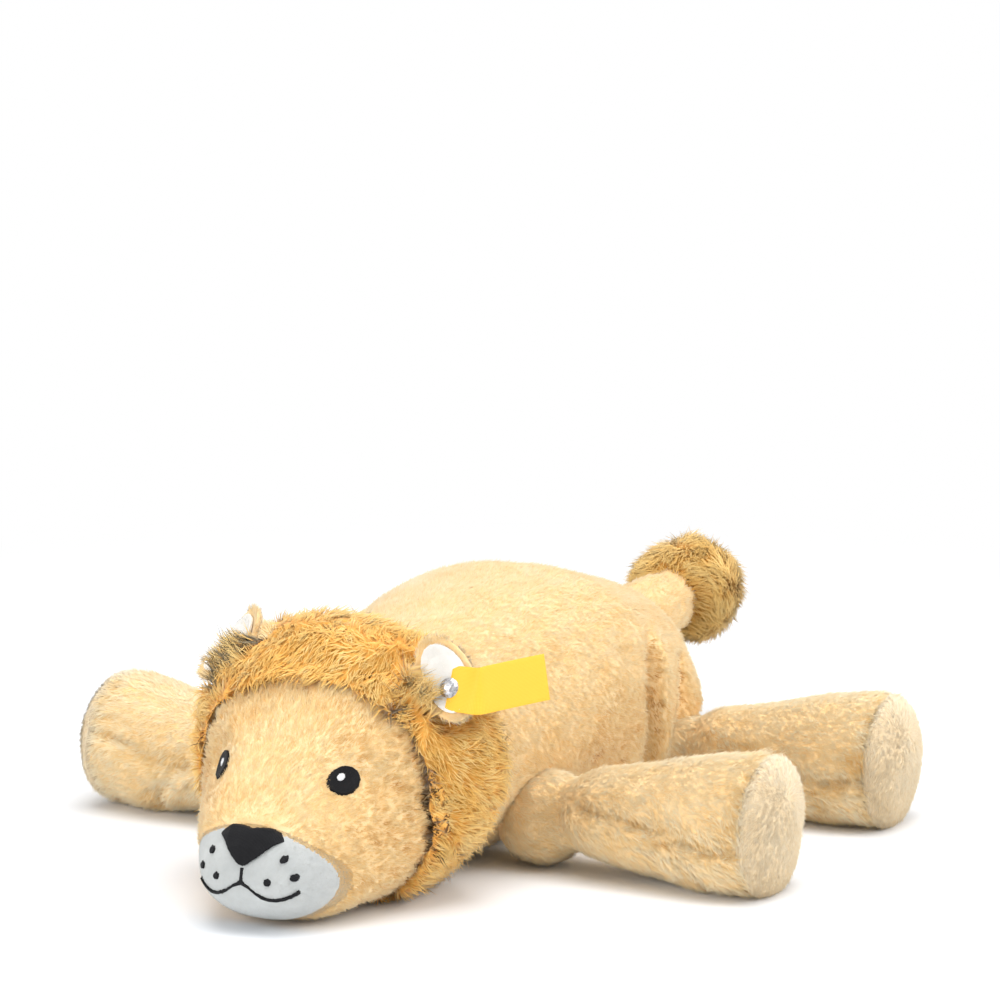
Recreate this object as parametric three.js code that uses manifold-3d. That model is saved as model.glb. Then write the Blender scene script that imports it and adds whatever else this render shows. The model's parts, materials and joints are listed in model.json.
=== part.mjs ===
// A plush lion lying flat on its belly, with its four legs spread and its chin on the floor.
// The lion faces -Y, its left side is +X, and +Z is up from the floor. Lengths are in millimetres.
// The origin is the middle of the belly's flat resting face.
import * as THREE from "three";
import { mergeVertices } from "three/addons/utils/BufferGeometryUtils.js";
import Module from "manifold-3d";

const wasm = await Module();
wasm.setup();

// Cloth, gaps and what is shared by every stuffed piece.
const coverWall = 2; // short-pile plush with its backing
const seamGap = 0.3; // free space between two sewn or touching pieces
const turningGap = 0.05; // least free space between the neck's round surfaces
const restDepth = 0.5; // how deep the floor flattens each resting form
const overrun = 6; // how far a cutting form passes the surface that it cuts

// Body: from the neck joint back to the rump.
const bodyWidth = 126;
const bodyHeight = 108;
const backLength = 179;
const neckForward = 75; // the neck joint, ahead of the belly's rest point
const neckRadius = 50; // the round front of the body that the head turns on
const neckOpening = 44; // the hole that the body is stuffed through
const pouchLength = 84;
const pouchWidth = 62;
const pouchHeight = 22;

// Head: from the back of the cheeks to the muzzle's tip.
const headLength = 93;
const headWidth = 105;
const headHeight = 101;
const muzzleTip = 197; // the muzzle's tip, ahead of the belly's rest point
const closureWall = 1.6; // the gathered cloth that closes the head at the neck
const closureWidth = 62;
const muzzlePanelWidth = 61;
const muzzlePanelHeight = 40;
const muzzlePanelMiddle = 22;

// Embroidery on the face.
const stitchProud = 1.1; // how far the thread stands out of the plush
const noseWidth = 26;
const noseHeight = 13;
const noseTop = 41;
const eyeDiameter = 11.6;
const eyeApart = 54;
const eyeHeight = 57;
const glintWidth = 3.2;
const glintProud = 0.5;
const glintShift = 1.2; // up, and to the lion's right
const mouthWidth = 42;
const mouthLine = 1.5;
const mouthDrop = 15;
const dotDiameter = 3;

// Mane: a ring of long-pile plush round the head.
const maneWidth = 135;
const maneTop = 112;
const maneDepth = 50;
const maneBack = 98; // the mane's back edge, ahead of the belly's rest point
const maneLean = 2; // how far the top of the mane leans forward of its foot

// Ears.
const earWidth = 36;
const earHeight = 22;
const earCup = 38; // the radius that the ear is cupped to
const earWall = 2.2;
const earLining = 1.4;
const earRootDiameter = 6;
const earSpreads = { left: 55, right: 50 }; // degrees from the top of the head
const earAhead = 130; // the ears, ahead of the belly's rest point
const earLeans = { left: 16, right: 48 }; // degrees that each ear leans back
const earToe = 12; // degrees that each ear turns towards the middle
const earFold = 25; // degrees that each ear folds either way
const earRootOut = 51.5; // the ears' roots, from the middle of the mane

// The tag on the left ear and its rivet.
const tagLength = 41;
const tagHeight = 18;
const tagWall = 0.7;
const tagNeck = 9; // the tag's height where the rivet pinches it
const tagHeading = 37; // degrees that the tag's free end points left of straight back
const tagStraight = 6; // from the rivet to the start of the bend
const tagBendLength = 10;
const rivetDiameter = 8;
const rivetShank = 2.4;
const rivetDome = 2;
const washerWall = 0.8;
const washerDiameter = 6.5;

// Legs: a round stuffed root sewn to the body, then the limb with its paw.
const legReach = 98; // from the root's centre to the sole
const legRootRadius = 20;
const legWidth = 42;
const legHeight = 44;
const pawWidth = 52;
const pawHeight = 54;
const solePadWall = 2.4;
const soleCrown = 3;

// Tail.
const tailRootRadius = 13;
const tailLength = 90; // from the root's centre to the middle of the tuft
const tailThickness = 30;
const tailHole = 9; // the hole in the stem's end that it is stuffed through
const tailRise = 5; // degrees above level
const tuftWidth = 53;
const tuftLength = 48;

// Places on the body, as shares of the body's own sizes.
const legSideShare = 0.83;
const frontLegShare = 0.138;
const hindLegShare = 0.78;
const tailAlongShare = 0.99;
const tailHeightShare = 0.5;

// How far each leg turns forward from square to the body, as shares of a right angle.
const legTurnShares = {
  front_left: -0.01,
  front_right: -0.067,
  hind_left: -0.033,
  hind_right: -0.033,
};

const neckJoint = new THREE.Vector3(0, -neckForward, neckRadius - restDepth);

const colours = {
  plush: 0xf0d29a,
  mane: 0xe2ab56,
  velour: 0xf1f2ee,
  sole: 0xf2e4c6,
  thread: 0x17161a,
  glint: 0xffffff,
  fibre: 0xf6f4ee,
  cloth: 0xe9e4d8,
  tag: 0xf8c32f,
  steel: 0xb9b4a8,
};

const plushRoughness = 0.95;
const clothRoughness = 0.8;
const steelRoughness = 0.35;
const steelMetalness = 0.9;

function material(colour, roughness = plushRoughness, metalness = 0) {
  return new THREE.MeshStandardMaterial({ color: colour, roughness, metalness });
}

// A closed three.js geometry as a solid that can be joined and cut. Corners nearer than the
// weld share of a seam's gap become one.
const weldShare = 0.002;

function solidOf(geometry) {
  const bare = geometry.index ? geometry.toNonIndexed() : geometry;
  const points = new THREE.BufferGeometry();
  points.setAttribute("position", bare.getAttribute("position"));
  const merged = mergeVertices(points, seamGap * weldShare);
  const mesh = new wasm.Mesh({
    numProp: 3,
    vertProperties: merged.attributes.position.array,
    triVerts: new Uint32Array(merged.index.array),
  });
  return new wasm.Manifold(mesh);
}

// The solid's mesh as a three.js geometry.
function geometryOf(solid) {
  const mesh = solid.getMesh();
  const stride = mesh.numProp;
  const positions = new Float32Array(mesh.numVert * 3);
  for (let i = 0; i < mesh.numVert; i += 1) {
    positions.set(mesh.vertProperties.subarray(i * stride, i * stride + 3), i * 3);
  }
  const geometry = new THREE.BufferGeometry();
  geometry.setAttribute("position", new THREE.BufferAttribute(positions, 3));
  geometry.setIndex(new THREE.BufferAttribute(new Uint32Array(mesh.triVerts), 1));
  geometry.computeVertexNormals();
  return geometry;
}

function moved(geometry, matrix) {
  return solidOf(geometry.clone().applyMatrix4(matrix));
}

function place(x, y, z) {
  return new THREE.Matrix4().makeTranslation(x, y, z);
}

// Rings of points joined into one closed skin, with a point closing each end.
function loft(rings, startPoint, endPoint) {
  const sides = rings[0].length;
  const points = [startPoint, ...rings.flat(), endPoint];
  const last = points.length - 1;
  const at = (ring, side) => 1 + ring * sides + (side % sides);
  const faces = [];
  for (let side = 0; side < sides; side += 1) {
    faces.push(0, at(0, side), at(0, side + 1));
    for (let ring = 0; ring + 1 < rings.length; ring += 1) {
      faces.push(at(ring, side), at(ring + 1, side + 1), at(ring, side + 1));
      faces.push(at(ring, side), at(ring + 1, side), at(ring + 1, side + 1));
    }
    faces.push(last, at(rings.length - 1, side + 1), at(rings.length - 1, side));
  }
  const geometry = new THREE.BufferGeometry();
  const positions = points.flatMap((point) => point.toArray());
  geometry.setAttribute("position", new THREE.Float32BufferAttribute(positions, 3));
  geometry.setIndex(faces);
  return geometry;
}

// A stuffed outline across the Y axis: rounder than a box and fuller than an ellipse.
// Its sides are a multiple of four, so that it has a flat at the bottom, the top and each side.
function section({ y, halfWidth, top, bottom, fullness = 2, lean = 0 }, sides) {
  const middle = (top + bottom) / 2;
  const halfHeight = (top - bottom) / 2;
  const power = 2 / fullness;
  const widest = Math.cos(Math.PI / sides) ** power;
  const rounded = (value) => (Math.sign(value) * Math.abs(value) ** power) / widest;
  return Array.from({ length: sides }, (_, side) => {
    const turn = (2 * Math.PI * (side + 0.5)) / sides;
    const across = rounded(Math.cos(turn));
    const up = rounded(Math.sin(turn));
    return new THREE.Vector3(halfWidth * across, y - lean * up, middle + halfHeight * up);
  });
}

// A stuffed form along Y from rows of shares: [along, width, top, bottom, fullness].
// A growth swells it outward for a neighbour's clearance, or shrinks it to the inside of its cover.
function stuffedForm(form, growth = 0) {
  const { from, to, girth, base = 0, shares, startShare, endShare, endAlong = 1, lean = 0, sides } = form;
  const length = to - from;
  const middle = (from + to) / 2;
  const stretch = (length + 2 * growth) / length;
  const yAt = (along) => middle + (from + along * length - middle) * stretch;
  const rings = shares.map(([along, wide, high, low, fullness]) => {
    const [width, height] = girth(along);
    const halfWidth = (wide * width) / 2 + growth;
    const top = base + high * height + growth;
    const bottom = base + low * height - restDepth - growth;
    return section({ y: yAt(along), halfWidth, top, bottom, fullness, lean }, sides);
  });
  const start = new THREE.Vector3(0, yAt(0), base + startShare * girth(0)[1]);
  const end = new THREE.Vector3(0, yAt(endAlong), base + endShare * girth(1)[1]);
  return loft(rings, start, end);
}

// A round root, and the hollow that it turns in: the hollow's flats stay clear of the ball,
// and its corners lie between the ball's.
const ballSides = 16;
const innerSides = 16;
const ballFlat = Math.cos(Math.PI / ballSides) ** 2;

function ball(radius) {
  return new THREE.SphereGeometry(radius, ballSides, ballSides / 2);
}

function socket(radius, inset = 0) {
  return ball((radius + seamGap) / ballFlat + inset).rotateY(Math.PI / ballSides);
}

const floorWide = 10 * bodyWidth;
// The ground under the lion, up to a height, to cut a form's resting flat.
function belowFloor(height = 0) {
  return moved(
    new THREE.BoxGeometry(floorWide, floorWide, bodyHeight),
    place(0, 0, height - bodyHeight / 2),
  );
}

// Each finished piece, by its name.
const root = new THREE.Group();

function addPiece(name, solid, colour, parent = root, roughness, metalness) {
  const mesh = new THREE.Mesh(geometryOf(solid), material(colour, roughness, metalness));
  mesh.name = name;
  parent.add(mesh);
  return mesh;
}

// The four legs, each by its own root point and heading.
const legs = Object.entries(legTurnShares).map(([name, share]) => {
  const left = name.endsWith("left");
  const heading = (share * Math.PI) / 2;
  const along = name.startsWith("front") ? frontLegShare : hindLegShare;
  return {
    name,
    side: left ? 1 : -1,
    at: new THREE.Vector3(
      ((left ? 1 : -1) * legSideShare * bodyWidth) / 2,
      along * backLength - neckForward,
      legRootRadius - restDepth,
    ),
    turn: left ? -heading : Math.PI + heading,
  };
});

// A leg's own frame: +X runs out along the leg, and z = 0 is the height of its root's centre.
function legFrame(leg) {
  return new THREE.Matrix4().makeRotationZ(leg.turn).setPosition(leg.at);
}

const tailAt = new THREE.Vector3(
  0,
  tailAlongShare * backLength - neckForward,
  tailHeightShare * bodyHeight,
);

// The body: a dome at the neck, then sections back to the rump.
const bodySides = 20;
const domeRings = 6;
const bodyShares = [
  [0.1, 0.86, 0.885, 0, 2.15],
  [0.25, 0.94, 0.925, 0, 2.3],
  [0.42, 0.985, 0.955, 0, 2.5],
  [0.58, 1, 0.955, 0, 2.6],
  [0.72, 0.985, 0.885, 0, 2.6],
  [0.84, 0.93, 0.83, 0, 2.5],
  [0.92, 0.81, 0.72, 0.01, 2.4],
  [0.97, 0.58, 0.58, 0.07, 2.2],
];
const rumpShare = 0.34;

function bodyGeometry(growth, sides) {
  const rings = [];
  for (let band = 1; band <= domeRings; band += 1) {
    const angle = (Math.PI / 2) * (band / domeRings);
    const reach = (neckRadius + growth) * Math.sin(angle) * Math.cos(Math.PI / sides);
    rings.push(
      section(
        {
          y: neckJoint.y - (neckRadius + growth) * Math.cos(angle),
          halfWidth: reach,
          top: neckJoint.z + reach,
          bottom: neckJoint.z - reach,
        },
        sides,
      ),
    );
  }
  for (const [along, wide, high, low, fullness] of bodyShares) {
    rings.push(
      section(
        {
          y: neckJoint.y + along * (backLength + growth),
          halfWidth: (wide * bodyWidth) / 2 + growth,
          top: high * bodyHeight + growth,
          bottom: low * bodyHeight - restDepth - growth,
          fullness,
        },
        sides,
      ),
    );
  }
  const front = new THREE.Vector3(0, neckJoint.y - neckRadius - growth, neckJoint.z);
  const rump = new THREE.Vector3(0, neckJoint.y + backLength + growth, rumpShare * bodyHeight);
  return loft(rings, front, rump);
}

// The body's outside, with the hollows that the leg roots and the tail root sit in.
// An inset follows the hollows too, so that the cover has one wall all round.
function bodySolid(inset = 0) {
  const sides = inset > 0 ? innerSides : bodySides;
  let solid = solidOf(bodyGeometry(-inset, sides)).subtract(belowFloor(inset));
  for (const leg of legs) {
    solid = solid.subtract(moved(socket(legRootRadius, inset), legFrame(leg)));
  }
  return solid.subtract(moved(socket(tailRootRadius, inset), place(tailAt.x, tailAt.y, tailAt.z)));
}

// A bag of pellets in the bottom of the body, which makes it lie flat.
const pouchShares = [
  [0.06, 0.6, 0.72, 0.28, 2],
  [0.2, 0.88, 0.92, 0.08, 2.4],
  [0.5, 1, 1, 0, 2.6],
  [0.8, 0.88, 0.92, 0.08, 2.4],
  [0.94, 0.6, 0.72, 0.28, 2],
];

function pouchGeometry(growth = 0) {
  const spec = {
    from: -pouchLength / 2,
    to: pouchLength / 2,
    girth: () => [pouchWidth, pouchHeight],
    base: coverWall + seamGap + restDepth,
    shares: pouchShares,
    startShare: 0.5,
    endShare: 0.5,
    sides: legSides,
  };
  return stuffedForm(spec, growth);
}

function makeBody() {
  const opening = new THREE.CylinderGeometry(neckOpening / 2, neckOpening / 2, neckRadius, innerSides);
  const openingAt = place(0, neckJoint.y - neckRadius, neckJoint.z);
  const cover = bodySolid().subtract(bodySolid(coverWall)).subtract(moved(opening, openingAt));
  addPiece("body_cover", cover, colours.plush);
  const pouch = solidOf(pouchGeometry());
  const pocket = solidOf(pouchGeometry(seamGap));
  const wayDown = moved(
    new THREE.BoxGeometry(pouchWidth / 2, pouchLength / 2, pouchHeight),
    place(0, 0, coverWall),
  );
  const filling = bodySolid(coverWall + seamGap).subtract(pocket).subtract(wayDown);
  addPiece("body_filling", filling, colours.fibre);
  addPiece("pellet_pouch", pouch, colours.cloth);
}

// A leg along its own +X: [along, width, top, bottom, fullness], as shares of its reach and girth.
const legSides = 12;
const legShares = [
  [0.09, 0.6, 0.74, 0.3, 2],
  [0.145, 0.7, 0.82, 0.24, 2],
  [0.24, 0.88, 0.93, 0.17, 2.1],
  [0.4, 0.98, 0.99, 0.14, 2.2],
  [0.6, 1, 1, 0.05, 2.2],
  [0.74, 0.99, 1, 0, 2.2],
  [0.86, 0.99, 0.985, 0, 2.15],
  [0.95, 1, 1, 0, 2.1],
  [1, 0.965, 0.975, 0.02, 2.1],
];
const legInnerSides = 12;
const pawStartShare = 0.62;
const pawFullShare = 0.92;

// A leg's width and height: an even limb that widens into the paw.
function legGirth(along) {
  const paw = THREE.MathUtils.smoothstep(along, pawStartShare, pawFullShare);
  return [THREE.MathUtils.lerp(legWidth, pawWidth, paw), THREE.MathUtils.lerp(legHeight, pawHeight, paw)];
}

// Turns a form that runs along Y into the leg's frame, where it runs along +X from the root.
const alongLeg = place(0, 0, restDepth - legRootRadius).multiply(
  new THREE.Matrix4().makeRotationZ(-Math.PI / 2),
);

// A leg without its root. Past the sole it can run on, for a cut that leaves the cover open there.
function legSolid(inset = 0, runOn = 0) {
  const endRow = legShares[legShares.length - 1];
  const form = stuffedForm(
    {
      from: 0,
      to: legReach,
      girth: legGirth,
      shares: [...legShares, [1 + (runOn + inset) / legReach, ...endRow.slice(1)]],
      startShare: 0.4,
      endShare: 0.5,
      endAlong: 1 + (runOn + inset) / legReach,
      sides: inset > 0 ? legInnerSides : legSides,
    },
    -inset,
  );
  const floor = place(0, 0, inset + restDepth - legRootRadius - bodyHeight / 2);
  return moved(form, alongLeg)
    .subtract(moved(new THREE.BoxGeometry(floorWide, floorWide, bodyHeight), floor))
    .subtract(solidOf(socket(legRootRadius, inset)));
}

// The sole: a velour disc with a low crown, sewn round the end of the leg.
// Each row is how much of the pad and of the crown lies behind it, and its share of the girth.
const soleShares = [
  [0, 0, 1],
  [1, 0, 0.985],
  [1, 0.65, 0.8],
  [1, 0.92, 0.45],
];

function soleGeometry() {
  const start = legReach + seamGap;
  const [, wide, high, low, fullness] = legShares[legShares.length - 1];
  const middle = ((high + low) * pawHeight) / 2;
  const halfHeight = ((high - low) * pawHeight) / 2 + restDepth;
  const rings = soleShares.map(([pad, crown, share]) =>
    section(
      {
        y: start + pad * solePadWall + crown * soleCrown,
        halfWidth: (share * wide * pawWidth) / 2,
        top: middle + share * halfHeight,
        bottom: middle - share * halfHeight,
        fullness,
      },
      legSides,
    ),
  );
  const inner = new THREE.Vector3(0, start, middle);
  const outer = new THREE.Vector3(0, start + solePadWall + soleCrown, middle);
  return loft(rings, inner, outer);
}

function makeLeg(leg) {
  const group = new THREE.Group();
  group.applyMatrix4(legFrame(leg));
  root.add(group);
  const floor = moved(
    new THREE.BoxGeometry(floorWide, floorWide, bodyHeight),
    place(0, 0, restDepth - legRootRadius - bodyHeight / 2),
  );
  const rootBall = solidOf(ball(legRootRadius)).subtract(floor);
  const cover = legSolid().subtract(legSolid(coverWall, overrun));
  const filling = legSolid(coverWall + seamGap);
  const sole = moved(soleGeometry(), alongLeg).subtract(floor);
  addPiece(`${leg.name}_leg_root`, rootBall, colours.plush, group);
  addPiece(`${leg.name}_leg_cover`, cover, colours.plush, group);
  addPiece(`${leg.name}_leg_filling`, filling, colours.fibre, group);
  addPiece(`${leg.name}_sole`, sole, colours.sole, group);
}

// The head, from the muzzle's tip back to the open rim that the mane surrounds.
const headSides = 24;
const headInnerSides = 16;
const headShares = [
  [0.011, 0.19, 0.275, 0.14, 2],
  [0.038, 0.31, 0.33, 0.1, 2.1],
  [0.075, 0.41, 0.37, 0.075, 2.2],
  [0.118, 0.475, 0.415, 0.055, 2.3],
  [0.183, 0.555, 0.475, 0.03, 2.4],
  [0.27, 0.635, 0.575, 0.01, 2.5],
  [0.35, 0.715, 0.67, 0, 2.5],
  [0.45, 0.815, 0.79, 0, 2.4],
  [0.58, 0.93, 0.895, 0, 2.3],
  [0.74, 0.985, 0.965, 0, 2.2],
  [1, 1, 1, 0, 2.2],
];
const muzzleTipShare = 0.21;
const headBack = headLength - muzzleTip;

// The neck's round surfaces share one centre, so that the head turns and nods clear of the body.
const neckSides = 32;
const neckFlat = Math.cos(Math.PI / neckSides) ** 2;
const closureInside = (neckRadius + turningGap) / neckFlat;
const closureOutside = closureInside + closureWall;
const headCup = (closureOutside + turningGap) / neckFlat;

function neckSphere(radius, turn = 0) {
  const sphere = new THREE.SphereGeometry(radius, neckSides, neckSides / 2).rotateY(turn);
  return moved(sphere, place(neckJoint.x, neckJoint.y, neckJoint.z));
}

// The hollow at the back of the head, with its flats over the closure's corners.
function neckCup() {
  return neckSphere(headCup, Math.PI / neckSides);
}

// The head's outline grown or shrunk, running on past its back rim.
function headForm(growth = 0) {
  const form = stuffedForm(
    {
      from: -muzzleTip,
      to: headBack,
      girth: () => [headWidth, headHeight],
      shares: [...headShares, [1 + overrun / headLength, 1, 1, 0, 2.2]],
      startShare: muzzleTipShare,
      endShare: 0.5,
      endAlong: 1 + overrun / headLength,
      sides: growth < 0 ? headInnerSides : headSides,
    },
    growth,
  );
  return solidOf(form);
}

// What lies behind the plane y = back, or below the floor.
function behind(back) {
  return moved(
    new THREE.BoxGeometry(floorWide, bodyWidth, floorWide),
    place(0, back + bodyWidth / 2, 0),
  );
}

// A flat outline seen from the front, pushed through the face from -Y.
function frontPrism(shape) {
  const depth = headLength + overrun;
  const geometry = new THREE.ExtrudeGeometry(shape, { depth, bevelEnabled: false, curveSegments: 5 });
  const upright = new THREE.Matrix4().makeRotationX(Math.PI / 2);
  return moved(geometry, place(0, headBack, 0).multiply(upright));
}

function circleShape(x, y, width, height = width) {
  const shape = new THREE.Shape();
  shape.absellipse(x, y, width / 2, height / 2, 0, 2 * Math.PI);
  return shape;
}

// A thin piece that follows the face: the part of a skin over the head that an outline takes.
function faceSkin(low, high) {
  return headForm(high).subtract(headForm(low)).subtract(belowFloor());
}

// The nose: a rounded triangle, point down, with two low bumps along its top. Each row bends
// towards one place and ends at another, as shares of its half width and of its height.
const noseShares = [
  [0.35, 0, 0.72, 0.45],
  [1.15, 0.78, 0.85, 0.92],
  [0.4, 1.06, 0, 0.9],
];

function noseShape() {
  const half = noseWidth / 2;
  const low = noseTop - noseHeight;
  const shape = new THREE.Shape();
  shape.moveTo(0, low);
  for (const [bendOut, bendUp, out, up] of noseShares) {
    shape.quadraticCurveTo(
      -bendOut * half,
      low + bendUp * noseHeight,
      -out * half,
      low + up * noseHeight,
    );
  }
  const ends = [[0, 0], ...noseShares.map(([, , out, up]) => [out, up])];
  for (let row = noseShares.length - 1; row >= 0; row -= 1) {
    const [bendOut, bendUp] = noseShares[row];
    const [out, up] = ends[row];
    shape.quadraticCurveTo(bendOut * half, low + bendUp * noseHeight, out * half, low + up * noseHeight);
  }
  return shape;
}

// The mouth: one line down from the nose that parts into two curves with upturned corners.
const mouthSteps = 8;
const mouthForkShare = 0.34;
const mouthSagShare = 0.45;
const mouthCornerTurn = 0.83 * Math.PI;

function mouthShape() {
  const half = mouthWidth / 2;
  const line = mouthLine / 2;
  const top = noseTop - noseHeight - seamGap - line;
  const fork = top - mouthForkShare * mouthDrop;
  const lip = Array.from({ length: mouthSteps + 1 }, (_, step) => {
    const out = step / mouthSteps;
    return [out * half, fork - mouthSagShare * mouthDrop * Math.sin(mouthCornerTurn * out)];
  });
  const shape = new THREE.Shape();
  shape.moveTo(-line, top);
  shape.lineTo(-line, fork);
  for (const [x, z] of lip.slice(1)) shape.lineTo(-line - x, z + line);
  for (const [x, z] of lip.slice(1).reverse()) shape.lineTo(-line - x, z - line);
  shape.lineTo(0, fork - 2 * line);
  for (const [x, z] of lip.slice(1)) shape.lineTo(line + x, z - line);
  for (const [x, z] of lip.slice(1).reverse()) shape.lineTo(line + x, z + line);
  shape.lineTo(line, fork);
  shape.lineTo(line, top);
  return shape;
}

// Where the whisker dots sit, as shares of the mouth's half width and drop, from the nose's point.
const dotShares = [
  [0.76, -0.2],
  [0.53, 0.37],
  [0.97, 0.25],
];

const eyeAlongShare = 0.34;
const eyeFacing = [0.6, -0.55, 0.58];

function makeEye(sideName, side, stitched, glinted) {
  const at = new THREE.Vector3((side * eyeApart) / 2, eyeAlongShare * headLength - muzzleTip, eyeHeight);
  const [out, ahead, up] = eyeFacing;
  const facing = new THREE.Vector3(side * out, ahead, up).normalize();
  const turn = new THREE.Quaternion().setFromUnitVectors(new THREE.Vector3(0, 1, 0), facing);
  const frame = new THREE.Matrix4().compose(at, turn, new THREE.Vector3(1, 1, 1));
  const reach = headWidth / 2;
  const disc = new THREE.CylinderGeometry(eyeDiameter / 2, eyeDiameter / 2, reach, ballSides);
  addPiece(`eye_${sideName}`, moved(disc, frame).intersect(stitched), colours.thread);
  const glint = new THREE.CylinderGeometry(glintWidth / 2, glintWidth / 2, reach, legInnerSides);
  const glintAt = place(-glintShift, 0, glintShift).multiply(frame);
  addPiece(`eye_glint_${sideName}`, moved(glint, glintAt).intersect(glinted), colours.glint);
}

const panelBackShare = 0.5;

function makeHead() {
  const outside = headForm();
  const cup = neckCup();
  const hidden = behind(headBack);
  const shell = outside
    .subtract(headForm(-coverWall))
    .subtract(belowFloor())
    .subtract(cup)
    .subtract(hidden);
  const muzzle = (growth) =>
    frontPrism(
      circleShape(0, muzzlePanelMiddle, muzzlePanelWidth + growth, muzzlePanelHeight + growth),
    );
  const panelBack = panelBackShare * headLength - muzzleTip;
  addPiece("face_cover", shell.subtract(muzzle(seamGap).subtract(behind(panelBack))), colours.plush);
  const panel = shell.intersect(muzzle(-seamGap)).subtract(behind(panelBack - seamGap));
  addPiece("muzzle_panel", panel, colours.velour);
  const filling = headForm(-coverWall - seamGap)
    .subtract(belowFloor(coverWall + seamGap))
    .subtract(cup)
    .subtract(hidden);
  addPiece("head_filling", filling, colours.fibre);

  const closure = neckSphere(closureOutside)
    .subtract(neckSphere(closureInside))
    .intersect(
      moved(
        new THREE.CylinderGeometry(closureWidth / 2, closureWidth / 2, neckRadius, neckSides),
        place(0, neckJoint.y - neckRadius, neckJoint.z),
      ),
    );
  addPiece("neck_closure", closure, colours.cloth);

  const stitched = faceSkin(seamGap, stitchProud);
  const glinted = faceSkin(stitchProud + seamGap, stitchProud + seamGap + glintProud);
  const nose = stitched.intersect(frontPrism(noseShape()));
  addPiece("nose", nose, colours.thread);
  addPiece("mouth_stitching", stitched.intersect(frontPrism(mouthShape())), colours.thread);
  for (const [sideName, side] of [["left", 1], ["right", -1]]) {
    makeEye(sideName, side, stitched, glinted);
    dotShares.forEach(([out, down], index) => {
      const x = (side * out * mouthWidth) / 2;
      const z = noseTop - noseHeight - down * mouthDrop;
      const dot = frontPrism(circleShape(x, z, dotDiameter));
      addPiece(`whisker_dot_${sideName}_${index + 1}`, dot.intersect(stitched), colours.thread);
    });
  }
}

// The mane: a thick ring that leans forward over the brow and ends at the floor beside the chin.
const maneSides = 24;
const maneShares = [
  [0.04, 0.68, 0.78, 0, 2.2],
  [0.18, 0.83, 0.89, 0, 2.15],
  [0.38, 0.95, 0.97, 0, 2.1],
  [0.6, 1, 1, 0, 2.05],
  [0.84, 0.985, 0.98, 0, 2.05],
  [1, 0.91, 0.92, 0, 2.05],
];

// The ears' frames: +X along the fold at the root, +Y to the lion's back, +Z out of the mane.
function earFrame(side) {
  const sideName = side > 0 ? "left" : "right";
  const spread = THREE.MathUtils.degToRad(side * earSpreads[sideName]);
  const middle = new THREE.Vector3(0, -earAhead, maneTop / 2);
  const out = new THREE.Vector3(Math.sin(spread), 0, Math.cos(spread));
  const at = middle.addScaledVector(out, earRootOut);
  const frame = new THREE.Matrix4().makeRotationY(spread).setPosition(at);
  const lean = new THREE.Matrix4().makeRotationX(-THREE.MathUtils.degToRad(earLeans[sideName]));
  const toe = new THREE.Matrix4().makeRotationZ(-side * THREE.MathUtils.degToRad(earToe));
  return frame.multiply(toe).multiply(lean);
}

// The notch in the mane's pile that an ear stands in, wide enough for its fold.
const notchReachShare = 1.4;

function earNotch(side) {
  const reach = notchReachShare * earHeight;
  const spread = Math.tan(THREE.MathUtils.degToRad(earFold));
  const foot = earRootDiameter / 2 + seamGap;
  const shape = new THREE.Shape();
  shape.moveTo(-foot, 0);
  shape.lineTo(foot, 0);
  shape.lineTo(foot + reach * spread, reach);
  shape.lineTo(-foot - reach * spread, reach);
  const depth = earWidth + 2 * seamGap;
  const wedge = new THREE.ExtrudeGeometry(shape, { depth, bevelEnabled: false });
  const upright = place(-depth / 2, 0, 0).multiply(
    new THREE.Matrix4().makeBasis(
      new THREE.Vector3(0, 1, 0),
      new THREE.Vector3(0, 0, 1),
      new THREE.Vector3(1, 0, 0),
    ),
  );
  const roll = new THREE.CylinderGeometry(foot / earFlat, foot / earFlat, depth, earSides);
  const lying = new THREE.Matrix4().makeRotationZ(Math.PI / 2);
  return moved(wedge, earFrame(side).multiply(upright)).add(moved(roll, earFrame(side).multiply(lying)));
}

function makeMane() {
  const form = stuffedForm({
    from: -maneBack - maneDepth,
    to: -maneBack,
    girth: () => [maneWidth, maneTop],
    shares: maneShares,
    startShare: 0.4,
    endShare: 0.5,
    lean: maneLean,
    sides: maneSides,
  });
  const mane = solidOf(form)
    .subtract(headForm(seamGap))
    .subtract(neckCup())
    .subtract(belowFloor())
    .subtract(earNotch(1))
    .subtract(earNotch(-1));
  const [ring] = mane.decompose().sort((a, b) => b.volume() - a.volume());
  addPiece("mane", ring, colours.mane);
}

// One ear: a plush back rolled at its root, and a smooth lining cupped into its front.
const earSides = 12;
const earSkinSides = 24;
const earFlat = Math.cos(Math.PI / earSides);
const earSkinFlat = Math.cos(Math.PI / earSkinSides) ** 2;
const earRollShare = 0.62;
const earLiningShare = 0.8;

function earShell(inner, outer) {
  const bulge = (radius) => {
    const sphere = new THREE.SphereGeometry(radius, earSkinSides, earSkinSides / 2);
    return moved(sphere, place(0, -earCup, earHeight / 2));
  };
  return bulge(outer).subtract(bulge(inner));
}

function earOutline(share) {
  const prism = new THREE.CylinderGeometry(1, 1, 1, bodySides);
  const size = new THREE.Matrix4().makeScale((share * earWidth) / 2, earCup, (share * earHeight) / 2);
  return moved(prism, place(0, 0, earHeight / 2).multiply(size));
}

// The rivet's frame in the ear's: +Y runs straight through the cloth to the ear's back.
const rivetAcrossShare = 0.12;

function rivetFrame() {
  const turn = Math.asin((rivetAcrossShare * earWidth) / earCup);
  return place(0, -earCup, earHeight / 2)
    .multiply(new THREE.Matrix4().makeRotationZ(-turn))
    .multiply(place(0, earCup, 0));
}

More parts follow.
